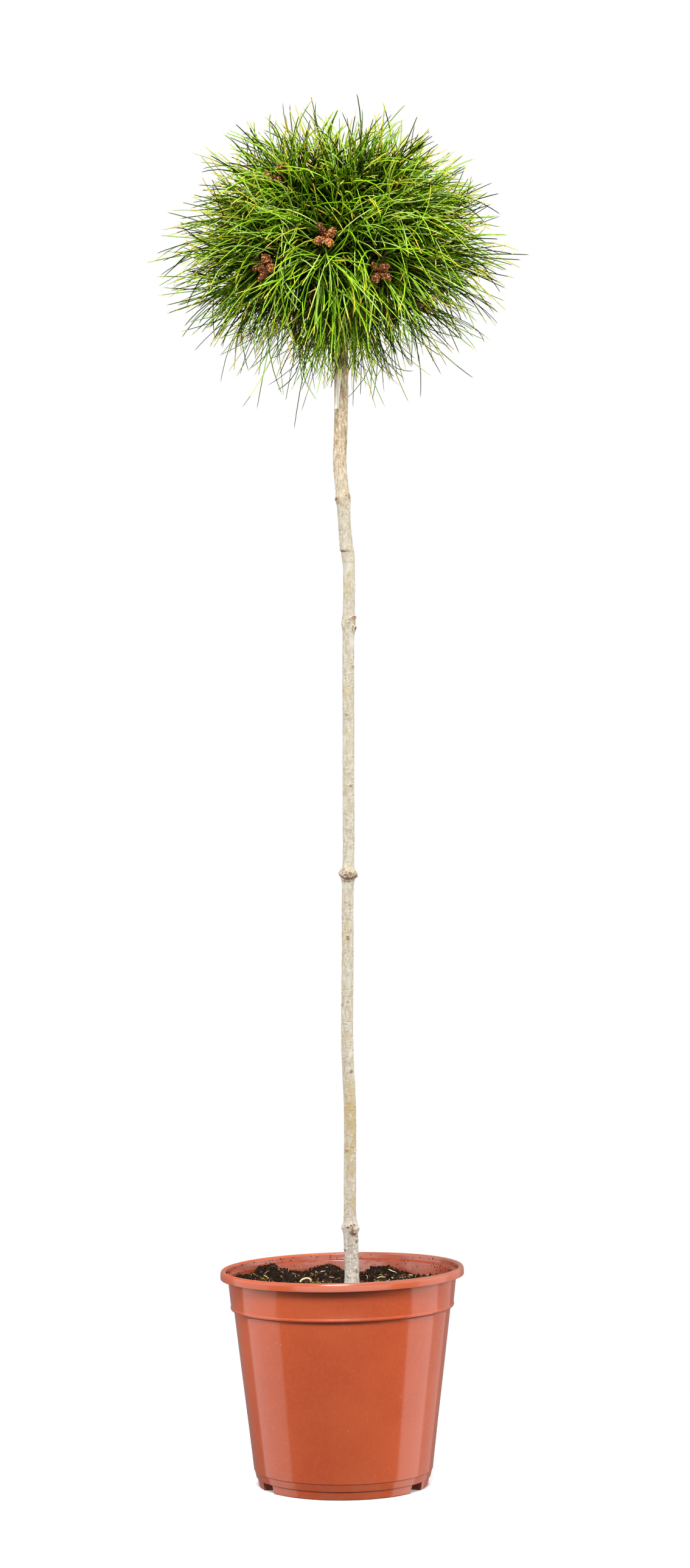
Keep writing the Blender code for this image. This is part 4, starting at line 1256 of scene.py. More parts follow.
def trunk_bark():
    look = Finish("bark", roughness=0.8, specular=0.2)
    colour = tuple(settings().bark_colour)
    height = look.height()
    streak = look.noise(310.0, 5.0, 0.7, 0.42)
    patch = look.noise(95.0, 3.0, stretch=0.45)
    fine = look.noise(900.0, 5.0, 0.75)
    fleck = look.noise(1300.0, 3.0, 0.7, 1.8)
    dull, bright = tinted(colour, (0.74, 0.71, 0.64)), tinted(colour, (0.99, 1.01, 1.04))
    smooth = look.mix(streak.between(0.38, 0.62), dull, bright)
    smooth = look.mix(patch.between(0.52, 0.62) * 0.45, smooth, tinted(colour, (0.86, 0.76, 0.50)))
    cool = look.noise(62.0, 2.0, stretch=0.6).between(0.56, 0.66)
    smooth = look.mix(cool * 0.55, smooth, tinted(colour, (1.04, 1.12, 1.20)))
    stained = height.between(0.27, 0.31) * (1.0 - height.between(0.40, 0.44))
    stained = stained * patch.between(0.46, 0.56)
    smooth = look.mix(stained * 0.6, smooth, (0.36, 0.26, 0.10))
    grey = look.mix(streak.between(0.36, 0.62), (0.29, 0.255, 0.21), (0.50, 0.455, 0.395))
    low = 1.0 - height.between(0.262, 0.31)
    smooth = look.mix(low, smooth, grey)
    flaky = look.mix(streak.between(0.38, 0.62), (0.41, 0.295, 0.170), (0.67, 0.575, 0.425))
    mossy = look.noise(190.0, 3.0, 0.6, 0.2).between(0.585, 0.635)
    flaky = look.mix(mossy * 0.72, flaky, (0.23, 0.195, 0.07))
    rough = height.between(1.02, 1.12)
    tone = look.mix(rough, smooth, flaky)
    cracks = []
    for scale, wide, stretch in ((640.0, 0.022, 0.15), (330.0, 0.009, 0.09)):
        wavy = look.noise(scale, 3.0, 0.6, stretch)
        cracks.append(1.0 - abs(wavy - 0.5).between(wide * 0.3, wide))
    tone = look.mix(cracks[0] * (0.06 + rough * 0.66), tone, (0.33, 0.185, 0.095))
    tone = look.mix(cracks[1] * (0.04 + rough * 0.62), tone, (0.13, 0.070, 0.040))
    marks = 1.0 - look.cells(430.0, 2.6).between(0.13, 0.25)
    # under: a painted shadow, dark just below each pale lenticel mark.
    under = 1.0 - look.cells(430.0, 2.6, 0.0014).between(0.12, 0.22)
    some = look.noise(170.0, 1.0).between(0.40, 0.48) * (1.0 - rough * 0.6)
    tone = look.mix(marks * some * 0.55, tone, tinted(colour, (1.20, 1.26, 1.32)))
    tone = look.mix(under * some * 0.85, tone, (0.15, 0.095, 0.055))
    tone = look.mix(fine.between(0.52, 0.66) * 0.42, tone, tinted(colour, (0.52, 0.46, 0.36)))
    tone = look.mix(fleck.between(0.56, 0.66) * 0.35, tone, tinted(colour, (1.20, 1.26, 1.32)))
    specks = look.noise(760.0, 4.0, 0.8, 0.6).between(0.575, 0.625)
    tone = look.mix(specks * (0.12 + low * 0.45), tone, (0.17, 0.135, 0.10))
    dots = 1.0 - look.cells(260.0).between(0.05, 0.10)
    tone = look.mix(dots * 0.8, tone, (0.10, 0.060, 0.038))
    # Browner and darker inside the crown: partly the bark's own brown, partly painted shade under
    # the needles.
    tone = look.mix(height.between(1.172, 1.205) * 0.78, tone, (0.20, 0.108, 0.050))
    brown = look.add("ShaderNodeAttribute", {"attribute_name": "brown"}, {}, "Fac")
    scar = look.mix(fine.between(0.42, 0.58), (0.060, 0.032, 0.019), (0.25, 0.135, 0.075))
    ragged = (brown + (look.noise(620.0, 4.0, 0.7) - 0.5) * 1.9).between(0.66, 0.78)
    tone = look.mix(brown.between(0.10, 0.50) * 0.30, tone, (0.27, 0.165, 0.095))
    tone = look.mix(ragged * 0.85, tone, scar)
    look.feed("Base Color", tone)
    look.feed("Roughness", 0.70 + 0.2 * fine + 0.1 * brown)
    normal = look.bump(cracks[0] * (0.1 + rough * 0.9), -0.0006, 0.8)
    normal = look.bump(marks * some, 0.0006, 0.9, normal)
    look.feed("Normal", look.bump(fine, 0.00030, 0.8, normal))
    return look


def strip_wood():
    look = Finish("graft_strip", roughness=0.7, specular=0.3)
    grain = look.noise(300.0, 3.0, stretch=0.08)
    tone = look.mix(grain.between(0.35, 0.7), (0.60, 0.57, 0.46), (0.82, 0.79, 0.68))
    stain = look.noise(160.0, 3.0).between(0.60, 0.72)
    look.feed("Base Color", look.mix(stain * 0.4, tone, (0.36, 0.28, 0.17)))
    look.feed("Roughness", 0.6 + grain * 0.2)
    look.feed("Normal", look.bump(grain, 0.0003, 0.6))
    return look


def add_scars(shape, rng, points, heights, angles):
    """Little craters with a dark ring and a pale heart, on the lumps that have a scar."""
    around = all_round(SCAR_SIDES)
    for height, degrees, wide, _, scar, _ in LUMPS:
        if scar < SCAR_LEAST:
            continue
        ring = int(np.clip(np.searchsorted(heights, height), 2, len(heights) - 3))
        spot = int(np.argmin(np.abs(angle_off(angles, math.radians(degrees)))))
        place = points[ring, spot]
        up = unit(points[ring + 2, spot] - points[ring - 2, spot])
        across = unit(points[ring, (spot + 2) % len(angles)] - points[ring, spot - 2])
        out = unit(np.cross(across, up))
        size = wide * 0.5 * (0.6 + 0.5 * scar)
        rings = []
        wave = 0.16 * np.sin(2.0 * around + rng.uniform(0.0, math.tau))
        wave += 0.10 * np.sin(3.0 * around + rng.uniform(0.0, math.tau))
        for share, rise in SCAR_PROFILE:
            radius = size * share * (1.0 + wave + rng.normal(0.0, 0.06, SCAR_SIDES))
            tall = size * (rise + rng.normal(0.0, 0.05, SCAR_SIDES))
            rings.append(
                place + (radius * np.cos(around) * 1.2)[:, None] * across
                + (radius * np.sin(around))[:, None] * up + tall[:, None] * out
            )
        rings.append(place[None] + out * size * SCAR_PROFILE[-1][1])
        count = len(SCAR_PROFILE)
        slots = np.repeat(SCAR_SLOTS[:-1], SCAR_SIDES)
        shape.add(np.concatenate(rings), ring_quads(count, SCAR_SIDES), slots)
        side = np.arange(SCAR_SIDES)
        last = (count - 1) * SCAR_SIDES
        tip = np.full(SCAR_SIDES, count * SCAR_SIDES)
        heart = np.stack([last + side, last + (side + 1) % SCAR_SIDES, tip], axis=1)
        shape.more_faces(heart, SCAR_SLOTS[-1])


def make_strip():
    """The pale strip that is laid slantwise over the graft."""
    rows, columns = 44, 7
    share = np.linspace(0.0, 1.0, rows)
    heights = STRIP_FOOT + (STRIP_HEAD - STRIP_FOOT) * share
    middle = np.radians(STRIP_ANGLES[0] + (STRIP_ANGLES[1] - STRIP_ANGLES[0]) * share)
    width = STRIP_WIDTH * (1.0 - STRIP_TAPER * share)
    radius = trunk_radius(heights)
    across = np.linspace(-0.5, 0.5, columns)[None, :] * width[:, None]
    angle = middle[:, None] + across / radius[:, None]
    rounding = np.abs(np.linspace(-1, 1, columns)) ** 3
    points = []
    for lift, sunk in STRIP_LAYERS:
        reach = radius[:, None] + lift - sunk * rounding
        off = [reach * np.sin(angle), -reach * np.cos(angle), np.zeros_like(angle)]
        off = np.stack(off, axis=2)
        points.append((trunk_axis(heights)[:, None, :] + off).reshape(-1, 3))
    row, column = np.meshgrid(np.arange(rows - 1), np.arange(columns - 1), indexing="ij")
    first = (row * columns + column).ravel()
    face = np.stack([first, first + 1, first + columns + 1, first + columns], axis=1)
    back = rows * columns
    edge = np.concatenate([
        np.arange(columns), np.arange(1, rows) * columns + columns - 1,
        (rows - 1) * columns + np.arange(columns - 2, -1, -1), np.arange(rows - 2, 0, -1) * columns,
    ])
    after = np.roll(edge, -1)
    shape = Shape()
    shape.add(np.concatenate(points), face)
    shape.more_faces(face[:, ::-1] + back)
    shape.more_faces(np.stack([edge, edge + back, after + back, after], axis=1))
    new_piece("graft_strip", shape.mesh("graft_strip", [strip_wood()]))


def make_trunk():
    heights = np.arange(trunk_foot(), TRUNK_TIP + TRUNK_STEP * 0.4, TRUNK_STEP)
    heights[-1] = TRUNK_TIP
    angles = all_round(TRUNK_SIDES) - math.pi
    relief, brown = trunk_relief(heights, angles)
    radius = trunk_radius(heights, KNOT_RING_SHARE)[:, None] + relief
    foot = np.exp(-((heights - heights[0]) / FLARE_HEIGHT))
    radius += FLARE * foot[:, None] * (1.0 + 0.5 * np.cos(3.0 * angles))[None, :]
    taper = np.clip((TRUNK_TIP - heights) / 0.004, 0.0, 1.0) ** 0.5
    radius *= (0.55 + 0.45 * taper)[:, None]
    axis = trunk_axis(heights)
    circle = np.stack([np.sin(angles), -np.cos(angles), np.zeros(TRUNK_SIDES)], axis=1)
    points = axis[:, None, :] + radius[:, :, None] * circle[None]
    shape = Shape()
    body = np.concatenate([points.reshape(-1, 3), axis[:1], axis[-1:]])
    add_closed_tube(shape, body, TRUNK_SIDES)
    mesh = shape.mesh("stem", [trunk_bark()])
    field = mesh.attributes.new("brown", "FLOAT", "POINT")
    field.data.foreach_set("value", np.concatenate([brown.ravel(), [0.0, 0.0]]).astype(np.float32))
    new_piece("stem", mesh, ["trunk"])
    scars = Shape()
    add_scars(scars, np.random.default_rng(SEED + 4), points, heights, angles)
    looks = [
        grained("scar_rim", (0.44, 0.375, 0.285), 0.85, 900.0, 0.35, 0.0004),
        grained("scar_dark", (0.090, 0.050, 0.030), 0.9, 900.0, 0.5, 0.0004),
        grained("scar_heart", (0.31, 0.165, 0.105), 0.85, 900.0, 0.5, 0.0005),
    ]
    new_piece("stem_scars", scars.mesh("stem_scars", looks))
    make_strip()


# Boughs, shoots and needles


def heading(azimuth, elevation):
    """Unit vector from degrees round from +X and degrees up."""
    around = math.radians(azimuth)
    up = math.radians(elevation)
    return Vector((math.cos(up) * math.cos(around), math.cos(up) * math.sin(around), math.sin(up)))


def curve(start, after, before, end, count):
    """Points on a curve from start to end, as an array."""
    made = []
    for index in range(count):
        share = index / (count - 1.0)
        keep = 1.0 - share
        outer = start * keep**3 + end * share**3
        made.append(outer + after * 3.0 * keep**2 * share + before * 3.0 * keep * share**2)
    return np.array([point[:] for point in made])


def bough_path(azimuth, way, height):
    """From the trunk's side out level, then round to the mass's own direction."""
    out = heading(azimuth, 0.0)
    start = Vector(trunk_axis(height)) + out * (float(trunk_radius(height)) - 0.001)
    tip = CROWN_MIDDLE + way * (HEART - STEM_BACK)
    level = start + out * BOUGH_STRAIGHT
    end = tip - way * BOUGH_STRAIGHT
    middle = curve(level, level + out * 0.008, end - way * 0.012, end, 16)
    return np.concatenate([np.array([start[:]]), middle, np.array([tip[:]])])


def add_limb(shape, path, radii, sides, rough, seed):
    """One tube with a rough surface and closed ends."""
    paths = path[None]
    aside = np.array([[0.31, 0.22, 0.93]])
    rings = tube_rings(paths, np.asarray(radii)[None], sides, aside)[0]
    for ring in range(len(rings)):
        for side in range(sides):
            place = Vector(rings[ring, side])
            out = rings[ring, side] - path[ring]
            swell = 1.0 + rough * noise.noise(place * 420.0 + Vector((seed, 0.0, 0.0)))
            rings[ring, side] = path[ring] + out * swell
    add_closed_tube(shape, np.concatenate([rings.reshape(-1, 3), path[:1], path[-1:]]), sides)


def make_boughs():
    shape = Shape()
    for index, (name, azimuth, elevation, _) in enumerate(MASSES[1:]):
        heights = UPPER_BOUGH_HEIGHTS if elevation > 0.0 else LOWER_BOUGH_HEIGHTS
        path = bough_path(azimuth, heading(azimuth, elevation), heights[index % 2])
        radii = np.linspace(BOUGH_RADIUS, BOUGH_TIP_RADIUS, len(path))
        add_limb(shape, path, radii, 14, 0.28, index)
    nodes = ["bough_" + mass[0] for mass in MASSES[1:]]
    look = grained("bough_bark", (0.30, 0.19, 0.105), 0.85, 420.0, 0.5, 0.0007)
    new_piece("boughs", shape.mesh("boughs", [look]), nodes)


def crown_reach(way, reach):
    """Distance from the crown's middle to its furthest tips in a direction."""
    rise = CROWN_TOP if way.z > 0.0 else CROWN_BELOW
    level = math.hypot(way.x, way.y)
    return reach / math.sqrt((level / CROWN_SIDE) ** 2 + (way.z / rise) ** 2)


def reach_share(points, reach):
    """How far out points lie, as a share of the crown's reach in their direction."""
    out = points - CROWN_POINT
    rise = np.where(out[..., 2] > 0.0, CROWN_TOP, CROWN_BELOW)
    level = np.hypot(out[..., 0], out[..., 1])
    return np.sqrt((level / CROWN_SIDE) ** 2 + (out[..., 2] / rise) ** 2) / reach


def shoot_ways():
    """Ways of the shoots: an even spiral over the crown, nudged, then those that carry clusters."""
    chance = random.Random(SEED)
    found = []
    for index in range(SHOOT_COUNT):
        rise = 1.0 - 2.0 * (index + 0.5) / SHOOT_COUNT
        around = index * GOLDEN_ANGLE
        level = math.sqrt(1.0 - rise * rise)
        nudge = Vector((chance.gauss(0, 1), chance.gauss(0, 1), chance.gauss(0, 1))) * SHOOT_TURN
        way = Vector((level * math.cos(around), level * math.sin(around), rise))
        way = (way + nudge).normalized()
        if math.degrees(math.asin(way.z)) > SHOOT_LOWEST:
            found.append((way, False))
    for azimuth, elevation in BUD_CLUSTERS:
        found.append((heading(azimuth, elevation), True))
    return found


def nearest_mass(way):
    ways = [heading(azimuth, elevation) for _, azimuth, elevation, _ in MASSES]
    return max(range(len(ways)), key=lambda spot: ways[spot].dot(way))


@dataclass
class Shoot:
    """A shoot: where its twig starts and ends, how many needles it bears and how far back."""

    start: Vector
    tip: Vector
    way: Vector
    needles: int
    seat: tuple
    carries: bool = False
    star: bool = False
    lit: bool = False
    trails: bool = False


def grow_mass(index, directions):
    """The shoots of one mass: its main shoots and the finer ones that branch from them."""
    _, azimuth, elevation, reach = MASSES[index]
    chance = random.Random(SEED + 500 + index)
    way = heading(azimuth, elevation)
    far = crown_reach(way, reach) - NEEDLE_REACH - CORE_BACK
    foot = CROWN_MIDDLE + way * (HEART - STEM_BACK)
    middle = CROWN_MIDDLE + way * (HEART + far) / 2.0
    count = settings().needles_per_shoot
    found = []
    for direction, carries in directions:
        up = max(direction.z, 0.0)
        shares = [low + (high - low) * up for low, high in zip(TIP_SHARES, TOP_SHARES)]
        out = crown_reach(direction, reach) - NEEDLE_REACH
        tip = CROWN_MIDDLE + direction * out * (1.0 if carries else chance.uniform(*shares))
        start = foot.lerp(middle, chance.uniform(0.2, 0.8))
        along = (tip - start).normalized()
        ends = (along * 0.35 + direction * 0.65).normalized()
        found.append(Shoot(start, tip, ends, count, SHOOT_SEAT, carries))
        side = ends.orthogonal().normalized()
        for number in range(SIDE_SHOOTS):
            share = 0.42 + 0.42 * number / max(SIDE_SHOOTS - 1.0, 1.0) + chance.uniform(-0.05, 0.05)
            around = (number + chance.random()) * GOLDEN_ANGLE
            lean = math.radians(chance.uniform(30.0, 62.0))
            across = Matrix.Rotation(around, 3, ends) @ side
            off = (ends * math.cos(lean) + across * math.sin(lean)).normalized()
            branch = start.lerp(tip, share)
            end = branch + off * chance.uniform(0.020, 0.040)
            outer = end - CROWN_MIDDLE
            limit = crown_reach(outer.normalized(), reach) - NEEDLE_REACH * 0.93
            if outer.length > limit:
                end = CROWN_MIDDLE + outer * (limit / outer.length)
            turned = ((end - branch).normalized() * 0.6 + outer.normalized() * 0.4).normalized()
            found.append(Shoot(branch, end, turned, int(count * SIDE_NEEDLES_SHARE), SIDE_SEAT))
    return found


def needle_starts(rng, shoot, share, facing):
    """Where the needles of a shoot sit, and the way that each sets out."""
    tip, way = np.array(shoot.tip[:]), np.array(shoot.way[:])
    back = shoot.seat[1] + (shoot.seat[0] - shoot.seat[1]) * share
    seats = tip - way * back[:, None]
    last, first = np.array(LEANS) + (np.array(FACING_LEANS) - LEANS) * facing
    if shoot.star:
        last, first = STAR_LEANS
    if shoot.carries:
        last = max(last, CARRIER_LEAN)
    if shoot.trails:
        last, first = TRAILING_LEANS
    lean = first + (last - first) * share ** 0.8 + rng.normal(0.0, LEAN_SPREAD, len(share))
    lean = np.radians(lean)
    around = np.arange(len(share)) * GOLDEN_ANGLE + rng.normal(0.0, ROUND_SPREAD, len(share))
    across = across_way(way, around)
    return seats, way * np.cos(lean)[:, None] + across * np.sin(lean)[:, None]


def bent(seats, ways, length, bend):
    """Paths of needles that set out from their seats and turn more and more."""
    point = seats
    paths = [seats]
    for low, high in zip(NEEDLE_SHARES, NEEDLE_SHARES[1:]):
        ways = unit(ways + bend * (high - low) * (0.6 + high))
        point = point + ways * (length * (high - low))[:, None]
        paths.append(point)
    return np.stack(paths, axis=1)


def grow_needles(rng, shoot, reach):
    """Needle paths of one shoot, bent by their weight, kept within the reach and off the trunk."""
    facing = facing_share(shoot.way)
    below = np.clip((BELOW_FROM - shoot.way.z) / BELOW_OVER, 0.0, 1.0)
    above = np.clip((shoot.way.z - ABOVE_FROM) / ABOVE_OVER, 0.0, 1.0)
    usual = (1.0 - FEWER_BELOW * below - FEWER_ABOVE * above) * (0.90 + MORE_FACING * facing)
    more = STAR_NEEDLES if shoot.star else usual
    count = shoot.needles if shoot.trails else round(shoot.needles * more)
    seats, ways = needle_starts(rng, shoot, (np.arange(count) + 0.5) / count, facing)
    fringe = (below > FRINGE_FROM) * (rng.random(count) < FRINGE_SHARE)
    longer = STAR_LENGTH if shoot.star else 1.0 + FRINGE_LENGTH * fringe
    length = settings().needle_length * rng.uniform(*LENGTHS, count) * longer
    if shoot.trails:
        length = length * rng.uniform(*TRAILING_LENGTHS, count)
    droop = rng.uniform(*DROOPS, count) * (STAR_DROOP if shoot.star else 1.0 + facing)
    curl = rng.choice(CURLS, (count, 1)) + CURL_BELOW * below
    outward = unit(seats - CROWN_POINT)
    bend = rng.normal(0.0, 1.0, (count, 3)) * curl + outward * OUTWARD
    bend[:, 2] -= droop
    paths = bent(seats, ways, length, bend)
    limit = FURTHEST - NEARER_FACING * facing + FURTHER_BELOW * below
    limit = limit - NEARER_FOOT * below ** 3 - NEARER_TOP * above
    uneven = UNEVEN + UNEVEN_UPRIGHT * abs(shoot.way.z) + max(reach - 1.0, 0.0)
    limit = limit - uneven * rng.random(count)
    limit += FRINGE_REACH * fringe
    inner = reach_share(seats, reach)
    outer = reach_share(paths[:, -1], reach)
    fit = np.where(
        (outer > limit) & (not shoot.trails), (limit - inner) / np.maximum(outer - inner, 1e-6), 1.0
    )
    paths = seats[:, None] + (paths - seats[:, None]) * fit[:, None, None]
    from_axis = np.hypot(paths[..., 0] - blend(TRUNK_BENDS, paths[..., 2]), paths[..., 1])
    touching = (from_axis < trunk_radius(paths[..., 2]) + TRUNK_CLEAR) & (paths[..., 2] < TRUNK_TIP)
    keep = (fit > SHORTEST) & ~touching.any(axis=1)
    return paths[keep]


def unhidden(rng, paths, places, clear, share):
    """Which needles stay, when those that would hide places from outside are thinned to a share."""
    keep = np.ones(len(paths), bool)
    for place in places:
        out = unit((place - CROWN_POINT) * SEEN_FROM)
        off = paths - (place + out * PLACE_LIFT)
        ahead = np.sum(off * out, axis=2)
        aside = np.linalg.norm(off - ahead[..., None] * out, axis=2)
        hiding = ((ahead > 0.0) & (aside < clear)).any(axis=1)
        keep &= ~hiding | (rng.random(len(paths)) < share)
    return keep


def needle_looks():
    """Plain colours that are dealt out needle by needle: greens, olive, the turned tips and a
    painted shade.
    """
    green = tuple(settings().needle_colour)
    looks = [
        Finish(name, roughness=0.42, specular=gloss, colour=tinted(green, factors))
        for (name, _, factors), gloss in zip(NEEDLE_TONES, NEEDLE_GLOSS)
    ]
    tip = tuple(settings().tip_colour)
    looks.append(Finish("needle_tip", roughness=0.5, specular=0.4, colour=tip))
    shade = tinted(green, NEEDLE_SHADE)
    looks.append(Finish("needle_shade", roughness=0.7, specular=0.05, colour=shade))
    return looks


def facing_share(way):
    """How far a way points to the front or the back: 0 for one to the side, 1 for straight out."""
    return float(np.clip((abs(way.y) - FACING_FROM) / FACING_OVER, 0.0, 1.0))


def deal_tones(rng, paths, reach, facing, lit):
    """A colour slot for each step of each needle: painted shade deep inside, and often turned at
    the tip.
    """
    count, steps = paths.shape[0], paths.shape[1] - 1
    weights = np.array([share for _, share, _ in NEEDLE_TONES])
    side = np.array(SIDE_WEIGHTS)
    weights = weights * (side + (FACING_WEIGHTS - side) * facing)
    weights = weights * rng.uniform(*TONE_SPREAD, len(weights))
    tones = rng.choice(len(weights), count, p=weights / weights.sum())
    slots = np.repeat(tones[:, None], steps, axis=1)
    depth = reach_share((paths[:, :-1] + paths[:, 1:]) / 2.0, reach)
    hanging = (depth > 1.0) & (paths[:, 1:, 2] < FRINGE_TOP) & (not lit)
    depth = depth + lit
    # Painted shade: deep green and then the shade colour, the further in a step lies.
    slots[depth < rng.uniform(*DEEP_SHARES, (count, 1))] = DEEP_SLOT
    slots[depth < rng.uniform(*SHADE_SHARES, (count, 1))] = SHADE_SLOT
    turned = rng.random(count) * (0.85 + FEWER_TURNED * facing)
    for steps_turned, share in TURNED_TIPS:
        slots[turned < share * 0.6, -steps_turned - 1] = OLIVE_SLOT
        slots[turned < share, -steps_turned:] = TIP_SLOT
    slots[hanging] = DEEP_SLOT
    return slots


def extra_shoots():
    """Shoots given one by one, each after the way to its mass: the star, hanging and inner ones."""
    usual = settings().needles_per_shoot
    way = heading(*STAR_WAY)
    tip = CROWN_MIDDLE + way * (crown_reach(way, 1.0) - NEEDLE_REACH * STAR_REACH)
    made = [(way, Shoot(CROWN_MIDDLE + way * HEART, tip, way, usual, SHOOT_SEAT, star=True))]
    hanging = [(*row, HANGING_FOLLOW, False) for row in HANGING]
    hanging += [(tip, TRAILING_WAY, needles, 0.0, True) for tip, needles in TRAILING]
    for tip, way, needles, follow, trails in hanging:
        tip = Vector(tip)
        start_x = CROWN_MIDDLE.x + follow * (tip.x - CROWN_MIDDLE.x)
        start = Vector((start_x, math.copysign(HANGING_OFF, tip.y), tip.z + HANGING_RISE))
        way = Vector(way).normalized()
        shoot = Shoot(start, tip, way, needles, SHOOT_SEAT, lit=True, trails=trails)
        made.append((Vector((tip.x, tip.y, 0.0)).normalized(), shoot))
    for azimuth, elevation, share in INNER:
        way = heading(azimuth, elevation)
        out = way * (crown_reach(way, 1.0) - NEEDLE_REACH)
        start, tip = CROWN_MIDDLE + out * INNER_START, CROWN_MIDDLE + out * share
        made.append((way, Shoot(start, tip, way, usual + INNER_MORE, SHOOT_SEAT)))
    return made


def add_needles(shape, rng, shoot, paths, reach):
    """Adds the needles of one shoot, each with its own thickness and colours."""
    count = len(paths)
    facing = TRAILING_FACING if shoot.trails else facing_share(shoot.way)
    thin = 1.0 - THINNER_SIDE * (1.0 - facing) - THINNER_BELOW * (shoot.way.z < -0.15)
    if shoot.star or shoot.trails:
        thin = STAR_THIN if shoot.star else TRAILING_THIN
    thick = settings().needle_radius * rng.uniform(*THICKNESSES, count) * thin
    radii = thick[:, None] * NEEDLE_TAPER[None]
    # Painted shade on sprays that point down: they are dealt darker tones, as if they faced less
    # outward.
    facing *= DARKER_BELOW if shoot.way.z < -0.30 else 1.0
    slots = deal_tones(rng, paths, reach, facing, shoot.lit)
    add_strands(shape, paths, radii, 3, rng.normal(size=(count, 3)), slots)


def make_foliage():
    """A piece of needles for each mass, and one of all twigs. Gives the places of the clusters."""
    looks = needle_looks()
    directions = [[] for _ in MASSES]
    for way, carries in shoot_ways():
        directions[nearest_mass(way)].append((way, carries))
    grown = [grow_mass(index, ways) for index, ways in enumerate(directions)]
    extra = extra_shoots()
    for way, shoot in extra:
        grown[nearest_mass(way)].append(shoot)
    star_tip = np.array(extra[0][1].tip[:])
    clusters = [np.array(shoot.tip[:]) for mass in grown for shoot in mass if shoot.carries]
    shown = [place for place in clusters if place[2] < CROWN_MIDDLE.z]
    twigs = Shape()
    for index, mass in enumerate(grown):
        name, _, _, reach = MASSES[index]
        rng = np.random.default_rng(SEED + 900 + index)
        shape = Shape()
        add_stem(twigs, index)
        for shoot in mass:
            add_twig(twigs, shoot, rng)
            paths = grow_needles(rng, shoot, reach)
            paths = paths[unhidden(rng, paths, shown, CLUSTER_CLEAR, CLUSTER_KEEP)]
            if not shoot.star:
                paths = paths[unhidden(rng, paths, [star_tip], STAR_CLEAR, STAR_KEEP)]
            if len(paths):
                add_needles(shape, rng, shoot, paths, reach)
        mesh = shape.mesh("foliage_" + name, looks)
        new_piece("foliage_" + name, mesh, ["needles_" + name])
    look = grained("twig_bark", (0.120, 0.058, 0.026), 0.85, 620.0, 0.55, 0.0006)
    new_piece("twigs", twigs.mesh("twigs", [look]))
    return clusters


def add_stem(shape, index):
    """The mass's own stem, on from its bough or the trunk's tip."""
    _, azimuth, elevation, reach = MASSES[index]
    way = heading(azimuth, elevation)
    far = crown_reach(way, reach) - NEEDLE_REACH - CORE_BACK
    foot = CROWN_MIDDLE + way * (HEART - STEM_BACK - 0.001)
    if elevation > 80.0:
        foot = Vector(trunk_axis(TRUNK_TIP - 0.002))
    middle = CROWN_MIDDLE + way * (HEART + far) / 2.0
    path = np.array([foot.lerp(middle, step / 6.0)[:] for step in range(7)])
    radii = np.linspace(BOUGH_TIP_RADIUS, BOUGH_TIP_RADIUS * 0.8, 7)
    add_limb(shape, path, radii, 10, 0.25, index + 40)


def add_twig(shape, shoot, rng):
    """A curved twig with a pointed end."""
    chord = shoot.tip - shoot.start
    along = chord.normalized()
    after = shoot.start + (along * 0.7 + shoot.way * 0.1).normalized() * chord.length * 0.35
    before = shoot.tip - shoot.way * chord.length * 0.35
    path = curve(shoot.start, after, before, shoot.tip + shoot.way * 0.003, 9)
    thick = SHOOT_RADIUS if shoot.seat is SHOOT_SEAT else SHOOT_RADIUS * 0.66
    radii = np.linspace(thick, thick * 0.62, 8) * rng.uniform(0.9, 1.12, 8)
    add_strands(shape, path[None], radii[None], 6, rng.normal(size=(1, 3)), np.array([0]))


# Clusters of brown buds


def add_catkin(shape, rng, start, way, length, radius, scale, slots):
    """A knobbly body of small scales set in a spiral."""
    count = int(length / scale * 5.5)
    share = (np.arange(count) + 0.5) / count
    profile = np.sin(math.pi * np.clip(0.12 + 0.84 * share, 0.0, 1.0)) ** 0.6
    across = across_way(way, np.arange(count) * GOLDEN_ANGLE)
    jitter = rng.normal(0.0, 0.12 * radius, (count, 3))
    places = start + way * (length * share)[:, None] + across * (radius * profile)[:, None] + jitter
    size = scale * rng.uniform(0.75, 1.25, count)
    sizes = np.stack([size, size, size * 0.85], axis=1)
    add_lumps(shape, rng, places, sizes, 2, 0.12, rng.choice(slots, count))
    core_sizes = np.array([[radius * 0.95, radius * 0.95, length * 0.5]])
    turn = np.array(Vector(way).to_track_quat("Z", "Y").to_matrix())[None]
    middle = (start + way * length * 0.5)[None]
    add_lumps(shape, rng, middle, core_sizes, 2, 0.05, np.array([2]), turn)


def make_clusters(places):
    looks = [
        grained("cone_orange", (0.520, 0.165, 0.045), 0.75, 900.0, 0.5, 0.0003),
        grained("cone_tan", (0.680, 0.310, 0.110), 0.75, 900.0, 0.45, 0.0003),
        grained("cone_brown", (0.140, 0.044, 0.018), 0.75, 700.0, 0.5, 0.0003),
    ]
    rng = np.random.default_rng(SEED + 7)
    shape = Shape()
    for place in places:
        out = unit(place - CROWN_POINT)
        side = np.array(Vector(out).orthogonal().normalized()[:])
        up = np.cross(out, side)
        start = place - out * 0.006
        first = rng.uniform(0.0, math.tau)
        for number in range(BUDS):
            around = first + number * math.tau / BUDS + rng.normal(0.0, 0.2)
            spread = rng.uniform(0.60, 1.00)
            across = math.cos(around) * side + math.sin(around) * up
            way = unit(out + spread * across)
            length, radius, scale, slots = BUD if number else DARK_BUD
            if number:
                length = rng.uniform(*length)
            add_catkin(shape, rng, start + across * 0.003, way, length, radius, scale, slots)
    new_piece("bud_clusters", shape.mesh("bud_clusters", looks))


# Studio


